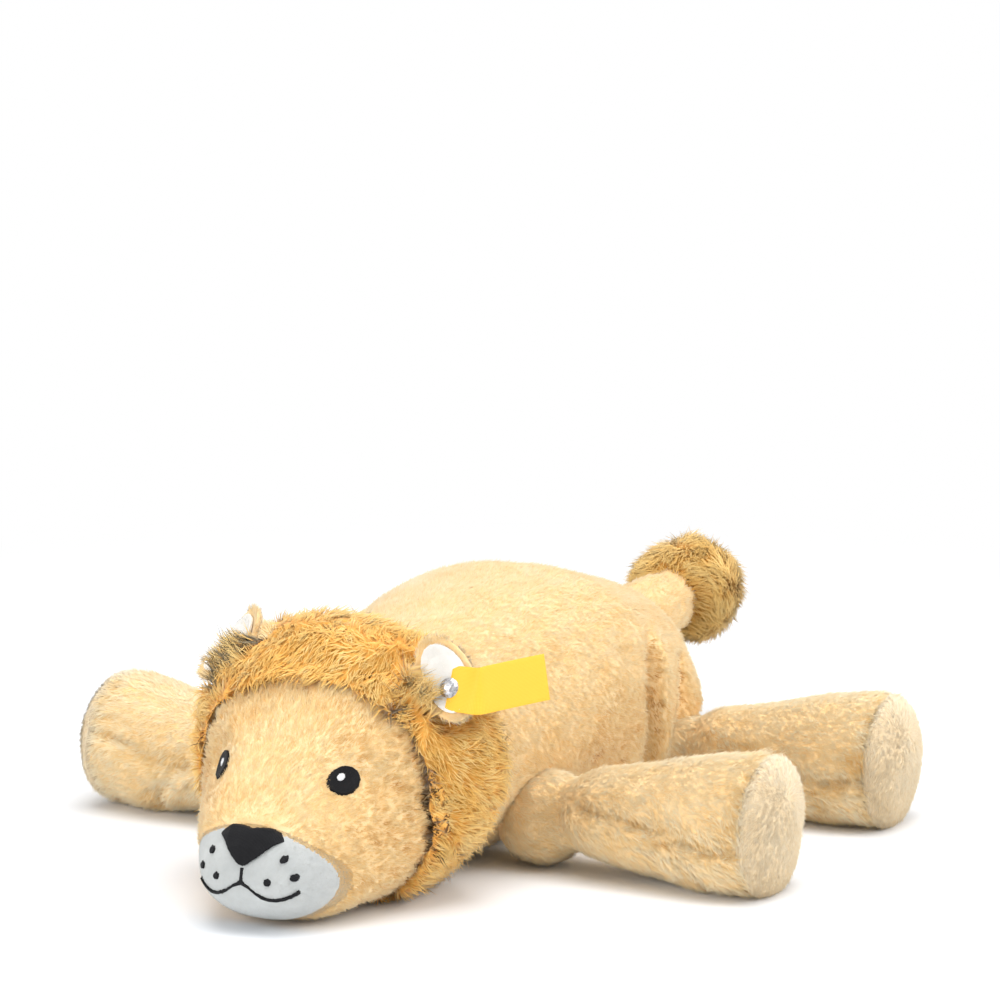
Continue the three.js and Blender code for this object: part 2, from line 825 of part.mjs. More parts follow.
function makeEar(sideName, side) {
  const group = new THREE.Group();
  group.applyMatrix4(earFrame(side));
  root.add(group);
  const lying = new THREE.Matrix4().makeRotationZ(Math.PI / 2);
  const roll = (gap) => {
    const radius = earRootDiameter / 2 + gap;
    const rollLength = earRollShare * earWidth + gap;
    return moved(new THREE.CylinderGeometry(radius, radius, rollLength, earSides), lying);
  };
  let back = earShell(earCup, earCup + earWall).intersect(earOutline(1)).add(roll(0));
  const liningOutside = earCup - seamGap;
  let lining = earShell(liningOutside - earLining, liningOutside)
    .intersect(earOutline(earLiningShare))
    .subtract(roll(seamGap));
  if (side > 0) {
    const radius = rivetShank / 2 + seamGap;
    const hole = moved(new THREE.CylinderGeometry(radius, radius, earCup, earSides), rivetFrame());
    back = back.subtract(hole);
    lining = lining.subtract(hole);
    makeTag(group);
  }
  addPiece(`ear_${sideName}_back`, back, colours.plush, group);
  addPiece(`ear_${sideName}_lining`, lining, colours.velour, group);
}

// The tag: a bare woven strip, pinched behind the ear by the rivet, that bends back over the mane.
const tagSteps = 4;

// The tag's axes: X along it, Y through the cloth and Z across it.
function tagTurn(along, across) {
  const basis = new THREE.Matrix4().makeBasis(along, across.clone().cross(along), across);
  return new THREE.Quaternion().setFromRotationMatrix(basis);
}

// The strip in the rivet's frame, where the ear's cloth is square to Y. It starts flat on the ear
// and turns until its free end is level, with its face upright.
function tagStrip(rivetAt, height) {
  const heading = THREE.MathUtils.degToRad(tagHeading);
  const local = rivetAt.clone().invert();
  const level = new THREE.Vector3(Math.sin(heading), Math.cos(heading), 0).transformDirection(local);
  const upright = new THREE.Vector3(0, 0, 1).transformDirection(local);
  const flat = level.clone().setY(0).normalize();
  const across = flat.clone().cross(new THREE.Vector3(0, 1, 0));
  if (across.dot(upright) < 0) upright.negate();
  const first = tagTurn(flat, across);
  const last = tagTurn(level, upright);
  const stations = [
    [0, 0, tagNeck],
    [tagNeck / 2 + tagStraight, 0, tagNeck],
  ];
  for (let step = 1; step <= tagSteps; step += 1) {
    const share = step / tagSteps;
    stations.push([tagBendLength / tagSteps, share, THREE.MathUtils.lerp(tagNeck, tagHeight, share)]);
  }
  stations.push([tagLength - tagStraight - tagBendLength, 1, tagHeight]);
  const middle = flat.clone().multiplyScalar(-tagNeck / 2).setY(height);
  const middles = [];
  const rings = stations.map(([advance, share, width]) => {
    const turn = first.clone().slerp(last, share);
    const axis = (x, y, z) => new THREE.Vector3(x, y, z).applyQuaternion(turn);
    middle.add(axis(advance, 0, 0));
    middles.push(middle.clone());
    const corner = (face, edge) => middle.clone().add(axis(0, (face * tagWall) / 2, (edge * width) / 2));
    return [corner(-1, -1), corner(-1, 1), corner(1, 1), corner(1, -1)];
  });
  return loft(rings, middles[0], middles[middles.length - 1]);
}

const rivetDomeShares = [
  [1, 0.25],
  [0.72, 0.75],
  [0.36, 0.96],
  [0, 1],
];

function makeTag(ear) {
  const group = new THREE.Group();
  group.applyMatrix4(rivetFrame());
  ear.add(group);
  const backFace = earWall;
  const cup = (earCup - seamGap - earLining) * earSkinFlat;
  const frontFace = Math.sqrt(cup ** 2 - (rivetDiameter / 2) ** 2) - earCup;
  const shank = rivetShank / 2;
  const tagMiddle = backFace + seamGap + tagWall / 2;
  const washerFront = tagMiddle + tagWall / 2 + seamGap;
  const headBackFace = frontFace - seamGap;
  const profile = [
    new THREE.Vector2(0, washerFront + washerWall),
    new THREE.Vector2(shank, washerFront + washerWall),
    new THREE.Vector2(shank, headBackFace),
    new THREE.Vector2(rivetDiameter / 2, headBackFace),
    ...rivetDomeShares.map(
      ([across, high]) => new THREE.Vector2((across * rivetDiameter) / 2, headBackFace - high * rivetDome),
    ),
  ].reverse();
  const rivet = solidOf(new THREE.LatheGeometry(profile, ballSides));
  addPiece("ear_rivet", rivet, colours.steel, group, steelRoughness, steelMetalness);
  const bore = shank + seamGap;
  const ring = [
    new THREE.Vector2(bore, washerFront),
    new THREE.Vector2(washerDiameter / 2, washerFront),
    new THREE.Vector2(washerDiameter / 2, washerFront + washerWall),
    new THREE.Vector2(bore, washerFront + washerWall),
    new THREE.Vector2(bore, washerFront),
  ];
  const washer = solidOf(new THREE.LatheGeometry(ring, ballSides));
  addPiece("rivet_washer", washer, colours.steel, group, steelRoughness, steelMetalness);
  const hole = new THREE.CylinderGeometry(bore, bore, earCup, earSides);
  const strip = solidOf(tagStrip(earFrame(1).multiply(rivetFrame()), tagMiddle));
  addPiece("ear_tag", strip.subtract(solidOf(hole)), colours.tag, group, clothRoughness);
}

// The tail: a round root, a short stuffed stem and a long-pile tuft that hides the stem's end.
const tailSides = 16;
const tailShares = [
  [0.05, 0.74],
  [0.11, 0.84],
  [0.25, 0.98],
  [0.5, 1],
  [0.8, 0.86],
  [1.05, 0.6],
];
const tailEndShare = 1.12;
const tuftShares = [
  [0.02, 0.5],
  [0.12, 0.82],
  [0.3, 0.98],
  [0.5, 1],
  [0.7, 0.93],
  [0.87, 0.7],
  [0.97, 0.36],
];

function roundForm(stations, start, end, sides) {
  const rings = stations.map(([y, radius]) =>
    section({ y, halfWidth: radius, top: radius, bottom: -radius }, sides),
  );
  return loft(rings, new THREE.Vector3(0, start, 0), new THREE.Vector3(0, end, 0));
}

function tailStem(inset = 0) {
  const stations = tailShares.map(([along, share]) => [
    along * tailLength,
    (share * tailThickness) / 2 - inset,
  ]);
  const sides = inset > 0 ? legInnerSides : tailSides;
  const form = roundForm(stations, 0, tailEndShare * tailLength - inset, sides);
  return solidOf(form).subtract(solidOf(socket(tailRootRadius, inset)));
}

function makeTail() {
  const group = new THREE.Group();
  const rise = new THREE.Matrix4().makeRotationX(THREE.MathUtils.degToRad(tailRise));
  group.applyMatrix4(place(tailAt.x, tailAt.y, tailAt.z).multiply(rise));
  root.add(group);
  addPiece("tail_root", solidOf(ball(tailRootRadius)), colours.plush, group);
  const stuffingHole = new THREE.CylinderGeometry(tailHole / 2, tailHole / 2, tailLength, legInnerSides);
  const cover = tailStem()
    .subtract(tailStem(coverWall))
    .subtract(moved(stuffingHole, place(0, tailLength, 0)));
  addPiece("tail_cover", cover, colours.plush, group);
  addPiece("tail_filling", tailStem(coverWall + seamGap), colours.fibre, group);
  const tuftStart = tailLength - tuftLength / 2;
  const stations = tuftShares.map(([along, share]) => [
    tuftStart + along * tuftLength,
    (share * tuftWidth) / 2,
  ]);
  const tuft = solidOf(roundForm(stations, tuftStart, tuftStart + tuftLength, maneSides)).subtract(
    tailStem(-seamGap),
  );
  addPiece("tail_tuft", tuft, colours.mane, group);
}

makeBody();
for (const leg of legs) makeLeg(leg);
makeHead();
makeMane();
makeEar("left", 1);
makeEar("right", -1);
makeTail();

export default root;
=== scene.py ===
# A plush lion lying on its belly: its stuffed skins, its pile, its stitched face and its studio.
import itertools
import json
import math

import bpy
import numpy as np
from mathutils import Matrix, Vector


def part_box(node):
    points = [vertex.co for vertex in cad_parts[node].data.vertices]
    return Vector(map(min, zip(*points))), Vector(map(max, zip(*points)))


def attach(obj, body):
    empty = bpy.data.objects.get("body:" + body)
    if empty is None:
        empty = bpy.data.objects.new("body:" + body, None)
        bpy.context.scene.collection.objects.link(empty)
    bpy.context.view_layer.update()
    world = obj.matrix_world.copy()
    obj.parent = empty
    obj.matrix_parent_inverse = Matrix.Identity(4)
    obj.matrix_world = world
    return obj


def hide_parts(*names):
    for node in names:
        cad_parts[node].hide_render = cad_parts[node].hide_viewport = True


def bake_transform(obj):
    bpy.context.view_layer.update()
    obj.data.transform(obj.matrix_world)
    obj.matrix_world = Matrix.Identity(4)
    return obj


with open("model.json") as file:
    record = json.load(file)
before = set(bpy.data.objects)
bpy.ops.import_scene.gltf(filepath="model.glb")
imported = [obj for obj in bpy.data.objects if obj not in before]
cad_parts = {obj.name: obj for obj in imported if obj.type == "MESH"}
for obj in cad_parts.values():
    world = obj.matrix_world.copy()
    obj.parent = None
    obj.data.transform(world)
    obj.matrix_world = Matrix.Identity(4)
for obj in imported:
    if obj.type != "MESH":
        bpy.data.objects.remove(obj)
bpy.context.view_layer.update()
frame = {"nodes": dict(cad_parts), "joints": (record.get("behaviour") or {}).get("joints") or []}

MM = 0.001
FLOOR_CLEARANCE = 0.3 * MM
TAG_SIZE = (47 * MM, 18 * MM)
MOST_FACES = 190000
LEGS = ("front_left", "front_right", "hind_left", "hind_right")
SIDES = ("left", "right")

# Strands to a square metre of skin.
STRANDS = {
    "body": 1.45e6, "leg": 1.7e6, "sole": 2.1e6, "face": 1.9e6, "muzzle": 4.0e6, "mane": 1.0e6,
    "lock": 2.8e6, "ear": 3.0e6, "lining": 3.6e6, "stem": 1.6e6, "tuft": 2.0e6,
}

# The studio: a pale floor that fades to white round the lion, an even sky and three softboxes.
WHITE = (1, 1, 1, 1)
FLOOR_COLOUR = (0.92, 0.94, 0.97, 1)
FLOOR_FADE = (0.24, 0.62)
WORLD_LIGHT = 0.52
LAMPS_AIM_AT = (0, -0.02, 0.04)
SOFTBOXES = [
    ("softbox_over", (0.1, -0.1, 1.6), 1.5, 22.0),
    ("softbox_left", (-0.6, -1.7, 0.6), 1.0, 13.0),
    ("softbox_right", (1.6, 0.3, 1.1), 1.2, 18.0),
]

# The camera: where it stands, what it looks at, the pixel where that shows, and its reach in pixels.
CAMERA_AT, CAMERA_TARGET = (0.9122, -1.7157, 0.5137), (0, 0, 0.04)
TARGET_PIXEL, CAMERA_REACH, PICTURE = (485.71, 724.9), 4840.0, 1000.0
SENSOR = 36.0


# Colours, written as they look and turned to the light's own scale.
def tone(code):
    channels = [int(code[i : i + 2], 16) / 255 for i in (0, 2, 4)]
    linear = [c / 12.92 if c <= 0.04045 else ((c + 0.055) / 1.055) ** 2.4 for c in channels]
    return (*linear, 1.0)


# Working by hand: one piece is picked at a time, shaped in edit mode and finished by modifiers.
def put_down():
    if bpy.context.mode != "OBJECT":
        bpy.ops.object.mode_set(mode="OBJECT")
    bpy.ops.object.select_all(action="DESELECT")


def pick_up(piece):
    put_down()
    piece.hide_set(False)
    piece.select_set(True)
    bpy.context.view_layer.objects.active = piece


def edit_whole(piece, operator, **settings):
    """Runs one edit-mode operator on all of a piece."""
    pick_up(piece)
    bpy.ops.object.mode_set(mode="EDIT")
    bpy.ops.mesh.select_all(action="SELECT")
    operator(**settings)
    bpy.ops.object.mode_set(mode="OBJECT")


def bring_in(name, data):
    piece = bpy.data.objects.new(name, data)
    bpy.context.collection.objects.link(piece)
    return piece


def cast(node, name):
    """A copy of a CAD solid, with its loose triangles joined up."""
    piece = bring_in(name, frame["nodes"][node].data.copy())
    piece.data.materials.clear()
    edit_whole(piece, bpy.ops.mesh.remove_doubles, threshold=0.02 * MM)
    return piece


def wrap(piece):
    """Draws the skin tight over the whole form, so that its hollows are closed."""
    edit_whole(piece, bpy.ops.mesh.convex_hull)
    return piece


def join_up(piece, *others):
    pick_up(piece)
    for other in others:
        other.select_set(True)
    bpy.ops.object.join()


def finish_with(piece, kind, **settings):
    pick_up(piece)
    modifier = piece.modifiers.new(kind.title(), kind)
    for name, value in settings.items():
        setattr(modifier, name, value)
    bpy.ops.object.modifier_apply(modifier=modifier.name)


def knead(piece, grain, rounds, factor=0.6):
    """An even net of small faces, rubbed smooth."""
    pick_up(piece)
    piece.data.remesh_voxel_size = grain
    bpy.ops.object.voxel_remesh()
    finish_with(piece, "SMOOTH", factor=factor, iterations=rounds)


def refine(piece):
    finish_with(piece, "SUBSURF", levels=1, render_levels=1)
    pick_up(piece)
    bpy.ops.object.shade_smooth()


def read_points(piece, what):
    flat = np.empty(len(piece.data.vertices) * 3)
    piece.data.vertices.foreach_get(what, flat)
    return flat.reshape(-1, 3)


def points_of(piece):
    return read_points(piece, "co")


def surface_of(piece):
    """A skin's points and its normal at each."""
    return points_of(piece), read_points(piece, "normal")


def set_points(piece, points):
    points = points.copy()
    points[:, 2] = np.maximum(points[:, 2], FLOOR_CLEARANCE)
    piece.data.vertices.foreach_set("co", points.ravel())
    piece.data.update()


def puff(piece, millimetres):
    """Moves each point of a skin out along its normal."""
    points, normals = surface_of(piece)
    set_points(piece, points + normals * (millimetres * MM)[:, None])


def unit(vectors):
    return vectors / np.maximum(np.linalg.norm(vectors, axis=-1, keepdims=True), 1e-12)


def lengths(vectors):
    return np.linalg.norm(vectors, axis=1)


def share(values):
    """Values held between 0 and 1."""
    return np.clip(values, 0, 1)


def hump(values, middle, width):
    """A smooth hump: 1 at its middle, and fading over its width."""
    return np.exp(-(((values - middle) / width) ** 2))


def joint_of(name):
    """Where a joint turns, and about which axis."""
    joint = next(joint for joint in frame["joints"] if joint["name"] == name)
    return np.array(joint["pos_m"]), np.array(joint["axis"])


# Smooth random values, and the clumps that pile gathers into.
def scramble(cells, seed):
    """An even random value from 0 to 1 for each whole-numbered cell."""
    key = cells[:, 0] * 73856093 ^ cells[:, 1] * 19349663 ^ cells[:, 2] * 83492791
    key = key ^ (seed + 1) * 2654435761
    key = (key ^ (key >> 15)) * 2246822519 & 0xFFFFFFFF
    key = (key ^ (key >> 13)) * 3266489917 & 0xFFFFFFFF
    return (key ^ (key >> 16)) / 2**32


def ripple(points, size, seed):
    """Smooth values from -1 to 1 that change over a distance of size."""
    cells = points / size
    base = np.floor(cells).astype(np.int64)
    part = cells - base
    part = part * part * (3 - 2 * part)
    total = np.zeros(len(points))
    for corner in range(8):
        offset = np.array([corner & 1, corner >> 1 & 1, corner >> 2 & 1])
        weight = np.where(offset, part, 1 - part).prod(1)
        total += weight * (2 * scramble(base + offset, seed) - 1)
    return total


def ripples(points, size, seeds):
    """A smooth random value for each seed, side by side."""
    return np.stack([ripple(points, size, seed) for seed in seeds], 1)


def clump_centres(points, size, seed):
    """The clump centre nearest to each point, and a random value that each clump shares."""
    base = np.floor(points / size).astype(np.int64)
    nearest = np.full(len(points), np.inf)
    centre = points.copy()
    shared = np.zeros(len(points))
    for step in itertools.product((-1, 0, 1), repeat=3):
        cell = base + step
        jitter = np.stack([scramble(cell, seed + k) for k in (11, 12, 13)], 1)
        candidate = (cell + jitter) * size
        distance = lengths(candidate - points)
        closer = distance < nearest
        nearest = np.where(closer, distance, nearest)
        centre = np.where(closer[:, None], candidate, centre)
        shared = np.where(closer, scramble(cell, seed + 14), shared)
    return centre, shared


# Pressing and puffing a skin: pushes that fade with distance.
def near(points, place, reach):
    away = lengths((points - place) / reach)
    return np.exp(-(away**2))


def near_line(points, line, reach):
    """How near each point lies to a line of places, from 1 on it to 0 far off."""
    line = np.array(line)
    best = np.full(len(points), np.inf)
    for start, end in zip(line[:-1], line[1:]):
        run = end - start
        along = share(((points - start) @ run) / (run @ run))
        best = np.minimum(best, lengths(points - start - along[:, None] * run))
    return hump(best, 0, reach)


def near_lines(points, lines, reach):
    return sum(near_line(points, line, reach) for line in lines)


# Finishes.
class Nodes:
    """The nodes of one finish or of the studio: each is added with its values and with what feeds it."""

    def __init__(self, owner):
        owner.use_nodes = True
        self.owner, self.nodes, self.links = owner, owner.node_tree.nodes, owner.node_tree.links

    def add(self, kind, values=None, feeds=None, **options):
        return self.fill(self.nodes.new("ShaderNode" + kind), values, feeds, **options)

    def fill(self, node, values=None, feeds=None, **options):
        for option, choice in options.items():
            setattr(node, option, choice)
        for socket, value in (values or {}).items():
            node.inputs[socket].default_value = value
        for socket, source in (feeds or {}).items():
            self.links.new(source, node.inputs[socket])
        return node

    def ramp(self, source, *stops):
        """Colours that follow a value from 0 to 1."""
        ramp = self.add("ValToRGB", feeds={"Fac": source})
        elements = ramp.color_ramp.elements
        while len(elements) < len(stops):
            elements.new(0.5)
        for element, (position, colour) in zip(elements, stops):
            element.position = position
            element.color = tone(colour)
        return ramp.outputs["Color"]

    def done(self, feeds):
        """Feeds the finish's own shader, and gives the material."""
        self.fill(self.nodes["Principled BSDF"], feeds=feeds)
        return self.owner

    def relief(self, source, strength, distance):
        bump = self.add("Bump", {"Strength": strength, "Distance": distance}, {"Height": source})
        return bump.outputs["Normal"]

    def reckon(self, operation, *sources):
        return self.add("Math", feeds=dict(enumerate(sources)), operation=operation).outputs["Value"]


def new_finish(name, **values):
    """A finish whose shader takes these values; a name's underscores stand for spaces."""
    finish = Nodes(bpy.data.materials.new(name))
    values = {socket.replace("_", " "): value for socket, value in values.items()}
    finish.fill(finish.nodes["Principled BSDF"], values)
    return finish


def pile_finish(name, painted_deep_shade, dark, middle, pale, root_shade, sheen):
    """Pile: tinted strand by strand across the map, and painted darker from tip to root up it, as painted shade
    where strands shade one another at their roots; the ramp's deepest colour is painted shade for creases and
    hollows.
    """
    finish = new_finish(name, Roughness=0.85, Specular_IOR_Level=0.15, Sheen_Weight=sheen,
                        Sheen_Roughness=0.5, Sheen_Tint=tone("fff6e6"))
    where = finish.add("UVMap", uv_map="OFBake")
    split = finish.add("SeparateXYZ", feeds={"Vector": where.outputs["UV"]})
    tint = finish.ramp(split.outputs["X"], (0.0, painted_deep_shade), (0.2, dark), (0.5, middle), (1.0, pale))
    painted_root_shade = finish.ramp(split.outputs["Y"], (0.0, root_shade), (0.55, "faf6ee"), (1.0, "ffffff"))
    mix = finish.add("Mix", data_type="RGBA", blend_type="MULTIPLY")
    finish.fill(mix, {"Factor": 1.0}, {"A": tint, "B": painted_root_shade})
    return finish.done({"Base Color": mix.outputs["Result"]})


def cloth_finish(name, dark, pale, grain, relief, sheen=0.3):
    """Backing cloth and velour: a mottled colour and a fine matted nap."""
    finish = new_finish(name, Roughness=0.9, Specular_IOR_Level=0.2, Sheen_Weight=sheen, Sheen_Roughness=0.45)
    place = {"Vector": finish.add("TexCoord").outputs["Object"]}
    mottle = finish.add("TexNoise", {"Scale": 90.0, "Detail": 6.0, "Roughness": 0.65}, place)
    nap = finish.add("TexNoise", {"Scale": 1 / grain, "Detail": 4.0}, place)
    return finish.done({
        "Base Color": finish.ramp(mottle.outputs["Fac"], (0.3, dark), (0.7, pale)),
        "Normal": finish.relief(nap.outputs["Fac"], relief, grain),
    })


def waves_of(spacing):
    """The scale at which a wave texture repeats once in each spacing."""
    return math.tau / (20 * spacing)


def satin_finish(name, dark, pale, turn, spacing):
    """Satin stitch: close parallel threads with a silky gloss."""
    finish = new_finish(name, Roughness=0.55, Specular_IOR_Level=0.18)
    laid = finish.add("Mapping", {"Rotation": turn}, {"Vector": finish.add("TexCoord").outputs["Object"]})
    threads = finish.add("TexWave", {"Scale": waves_of(spacing), "Distortion": 1.2, "Detail": 1.0},
                         {"Vector": laid.outputs["Vector"]}).outputs["Fac"]
    return finish.done({
        "Base Color": finish.ramp(threads, (0.2, dark), (0.9, pale)),
        "Normal": finish.relief(threads, 0.6, 0.25 * MM),
    })


def weave_finish(name, dark, pale, pitch, size):
    """Woven ribbon: threads over and under one another, laid out on the ribbon's own map."""
    finish = new_finish(name, Roughness=0.55, Specular_IOR_Level=0.3)
    where = finish.add("UVMap", uv_map="UVMap")
    laid = finish.add("Mapping", {"Scale": (*size, 1)}, {"Vector": where.outputs["UV"]})
    bands = [
        finish.add("TexWave", {"Scale": waves_of(pitch), "Distortion": 0.3}, {"Vector": laid.outputs["Vector"]},
                   bands_direction=direction).outputs["Fac"]
        for direction in ("X", "Y")
    ]
    weave = finish.reckon("MULTIPLY", *bands)
    return finish.done({
        "Base Color": finish.ramp(weave, (0.0, dark), (0.6, pale)),
        "Normal": finish.relief(weave, 0.3, 0.1 * MM),
    })


def metal_finish(name, dark, pale):
    """Polished steel, brushed and faintly worn."""
    finish = new_finish(name, Metallic=1.0)
    place = {"Vector": finish.add("TexCoord").outputs["Object"]}
    wear = finish.add("TexNoise", {"Scale": 900.0, "Detail": 5.0}, place).outputs["Fac"]
    polish = finish.add("MapRange", {"To Min": 0.2, "To Max": 0.36}, {"Value": wear})
    return finish.done({
        "Base Color": finish.ramp(wear, (0.35, dark), (0.65, pale)),
        "Roughness": polish.outputs["Result"],
    })


# The piles' colours, in order: painted deep shade for creases and hollows, then dark, middle and pale tones,
# then the painted shade at the strands' roots; last the sheen.
plush_pile = pile_finish("plush pile", "bf7f3c", "f2c27e", "fee0a8", "fff4d8", "fbe6c0", 0.45)
mane_pile = pile_finish("mane pile", "c07a22", "f2ae4a", "ffd07a", "ffe6a6", "f0c07c", 0.3)
muzzle_pile = pile_finish("grey-white velour nap", "a6a9a9", "b3b6b5", "bec1bf", "cfd1cf", "eef0ef", 0.1)
lining_pile = pile_finish("white lining nap", "e2e0da", "eceae4", "f6f5f1", "ffffff", "f0eeea", 0.1)
cream_pile = pile_finish("cream sole nap", "dfc092", "ecd2a8", "f8e4c2", "fff4de", "f6e8ce", 0.15)
plush_backing = cloth_finish("plush backing", "f0c484", "fbdeac", 0.6 * MM, 0.5, sheen=0.4)
mane_backing = cloth_finish("mane backing", "e4a54a", "f4bd66", 0.8 * MM, 0.6)
muzzle_velour = cloth_finish("grey-white velour", "b2b5b4", "c4c6c4", 0.35 * MM, 0.5)
lining_velour = cloth_finish("white lining velour", "e6e4de", "f8f7f4", 0.35 * MM, 0.5)
sole_velour = cloth_finish("cream sole velour", "dcc096", "ecd6b2", 0.4 * MM, 0.5)
nose_satin = satin_finish("nose satin stitch", "030304", "17171b", (0, 0, 0), 0.5 * MM)
eye_satin = satin_finish("eye satin stitch", "030304", "141418", (0, 0, math.radians(90)), 0.45 * MM)
line_thread = satin_finish("mouth thread", "060607", "1b1b1f", (0, math.radians(60), 0), 0.6 * MM)
glint_thread = satin_finish("white highlight thread", "e6e6e6", "ffffff", (0, 0, 0), 0.4 * MM)
ribbon_weave = weave_finish("yellow tag ribbon", "f6ba34", "fecb46", 0.5 * MM, TAG_SIZE)
rivet_steel = metal_finish("rivet steel", "8c8c90", "c9c9cc")
pouch_cloth = cloth_finish("plain cotton", "d8d0bd", "efe8d8", 0.5 * MM, 0.4)


# The pile: each strand is a three-sided spike that narrows from its root to its tip.
def roots_on(piece, kind, seed, where):
    """Places spread evenly over a skin where it has pile, with the skin's smooth normal at each."""
    mesh = piece.data
    mesh.calc_loop_triangles()
    corners = np.empty(len(mesh.loop_triangles) * 3, dtype=np.int64)
    mesh.loop_triangles.foreach_get("vertices", corners)
    corners = corners.reshape(-1, 3)
    points, normals = surface_of(piece)
    a, b, c = (points[corners[:, k]] for k in range(3))
    area = lengths(np.cross(b - a, c - a)) / 2
    pick = np.random.default_rng(seed)
    count = int(area.sum() * STRANDS[kind])
    face = pick.choice(len(area), count, p=area / area.sum())
    u, v = pick.random(count), pick.random(count)
    fold = u + v > 1
    u, v = np.where(fold, 1 - u, u), np.where(fold, 1 - v, v)
    w = 1 - u - v
    parts = np.stack([w, u, v], 1)[:, :, None]
    place = (points[corners[face]] * parts).sum(1)
    normal = unit((normals[corners[face]] * parts).sum(1))
    kept = where(place, normal)
    return place[kept], normal[kept]


def grow(name, roots, normals, flow, finish, length, *, width=0.25, lift=0.35, gather=0.3, clump=3.0,
         curl=0.1, droop=0.0, bends=1, seed=1, mottle=16.0, pale=0.0, soft=0.75, swirl=0.3,
         shades_apart=0.16):
    """One mesh of many three-sided strands. Lengths, widths and clumps are in millimetres."""
    pick = np.random.default_rng(seed)
    count = len(roots)
    flow = unit(flow - (flow * normals).sum(1, keepdims=True) * normals)
    across = np.cross(normals, flow)
    turn = swirl * (1.6 * ripple(roots, 9 * MM, seed + 1) + 0.8 * pick.normal(size=count))
    comb = flow * np.cos(turn)[:, None] + across * np.sin(turn)[:, None]
    long = (length * MM * (0.75 + 0.5 * pick.random(count)))[:, None]
    rise = np.clip(lift + 0.1 * pick.normal(size=count), 0.08, 0.97)[:, None]
    centre, shared = clump_centres(roots, clump * MM, seed)
    pull = centre - roots
    pull -= (pull * normals).sum(1, keepdims=True) * normals
    pull *= np.broadcast_to(gather, count)[:, None]
    wild = pick.normal(size=(count, 3))
    steps = [k / bends for k in range(bends + 1)]
    rows = []
    for t in steps:
        up = rise * (t - 0.3 * t * t)
        over = (1 - rise) * t + 0.3 * t * t
        row = roots + long * (normals * up + comb * over) + pull * t**1.5 + wild * (curl * long * t * t)
        row[:, 2] -= droop * long[:, 0] * t * t
        rows.append(row)
    rows[0] = rows[0] - normals * 0.2 * MM
    heading = unit(rows[-1] - rows[0])
    side = unit(np.cross(heading, normals))
    third = np.cross(heading, side)
    half = width * MM / 2 * (0.75 + 0.5 * pick.random(count))[:, None]
    levels, shades = [], []
    for t, row in zip(steps[:-1], rows[:-1]):
        for corner in (0.25, 0.917, 1.583):
            around = side * math.cos(corner * math.pi) + third * math.sin(corner * math.pi)
            levels.append(row + around * half * (1.15 - 0.35 * t))
            shades.append(unit(normals * soft + around * (1 - soft)))
    levels.append(rows[-1])
    shades.append(unit(normals * soft + heading * 0.5 * (1 - soft)))
    per = len(levels)
    points = np.stack(levels, 1).reshape(-1, 3)
    points[:, 2] = np.maximum(points[:, 2], FLOOR_CLEARANCE)
    turns = ((0, 1), (1, 2), (2, 0))
    spike = [[3 * k + a, 3 * k + b, 3 * k + 3 + b, 3 * k + 3 + a]
             for k in range(bends - 1) for a, b in turns]
    spike += [[3 * bends - 3 + a, 3 * bends - 3 + b, 3 * bends] for a, b in turns]
    sizes = np.array([len(face) for face in spike])
    corners = (np.arange(count)[:, None] * per + np.concatenate(spike)).ravel()
    starts = (np.arange(count)[:, None] * sizes.sum() + np.cumsum(sizes) - sizes).ravel()
    mesh = bpy.data.meshes.new(name)
    mesh.vertices.add(len(points))
    mesh.vertices.foreach_set("co", points.ravel())
    mesh.loops.add(len(corners))
    mesh.loops.foreach_set("vertex_index", corners)
    mesh.polygons.add(len(starts))
    mesh.polygons.foreach_set("loop_start", starts)
    mesh.polygons.foreach_set("use_smooth", np.ones(len(starts), dtype=bool))
    mesh.update(calc_edges=True)
    # Each strand's place on the colour ramp: its tone varies at random and by clump, and pale shifts it, which
    # some callers lower for painted shade in creases, hollows and seams, or raise for painted light.
    tint = 0.5 + pale + 0.09 * ripple(roots, mottle * MM, seed + 2) + 0.06 * ripple(roots, 5 * MM, seed + 3)
    tint += shades_apart * (shared - 0.5) + 0.07 * pick.normal(size=count)
    tint = np.clip(tint, 0.02, 0.98)
    edges = [(-0.008, 0.0, 0.008)[k % 3] for k in range(3 * bends)] + [0.0]
    heights = [steps[k // 3] for k in range(3 * bends)] + [1.0]
    u = tint[:, None] + edges
    uv = np.stack([u, np.broadcast_to(heights, u.shape)], -1).reshape(-1, 2)[corners]
    layer = mesh.uv_layers.new(name="OFBake")
    layer.uv.foreach_set("vector", uv.ravel())
    mesh.normals_split_custom_set_from_vertices(np.stack(shades, 1).reshape(-1, 3))
    mesh.materials.append(finish)
    return bring_in(name, mesh)


def pelt(piece, body, slot, roots, normals, flow, finish, length, **groom):
    """The pile of one skin, in as many pieces as its strands need."""
    most = MOST_FACES // (6 * groom.get("bends", 1) - 3)
    order = np.argsort(roots[:, 1], kind="stable")
    parts = math.ceil(len(order) / most)
    shares = {name: groom.pop(name) for name in ("lift", "gather", "pale") if np.ndim(groom.get(name, 0))}
    shares["length"] = np.broadcast_to(length, len(roots))
    for index, chosen in enumerate(np.array_split(order, parts)):
        name = f"{piece}_{index + 1}" if parts > 1 else piece
        own = {key: value[chosen] for key, value in shares.items()}
        grown = grow(name, roots[chosen], normals[chosen], flow[chosen], finish, **own, **groom)
        carry(grown, body)


def carry(piece, body):
    """A piece rides on one body; where body gives two and where they part, it is left where it stands, on
    neither.
    """
    if isinstance(body, str):
        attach(piece, body)
    else:
        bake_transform(piece)


def dress(piece, body, finish):
    piece.data.materials.clear()
    piece.data.materials.append(finish)
    carry(piece, body)


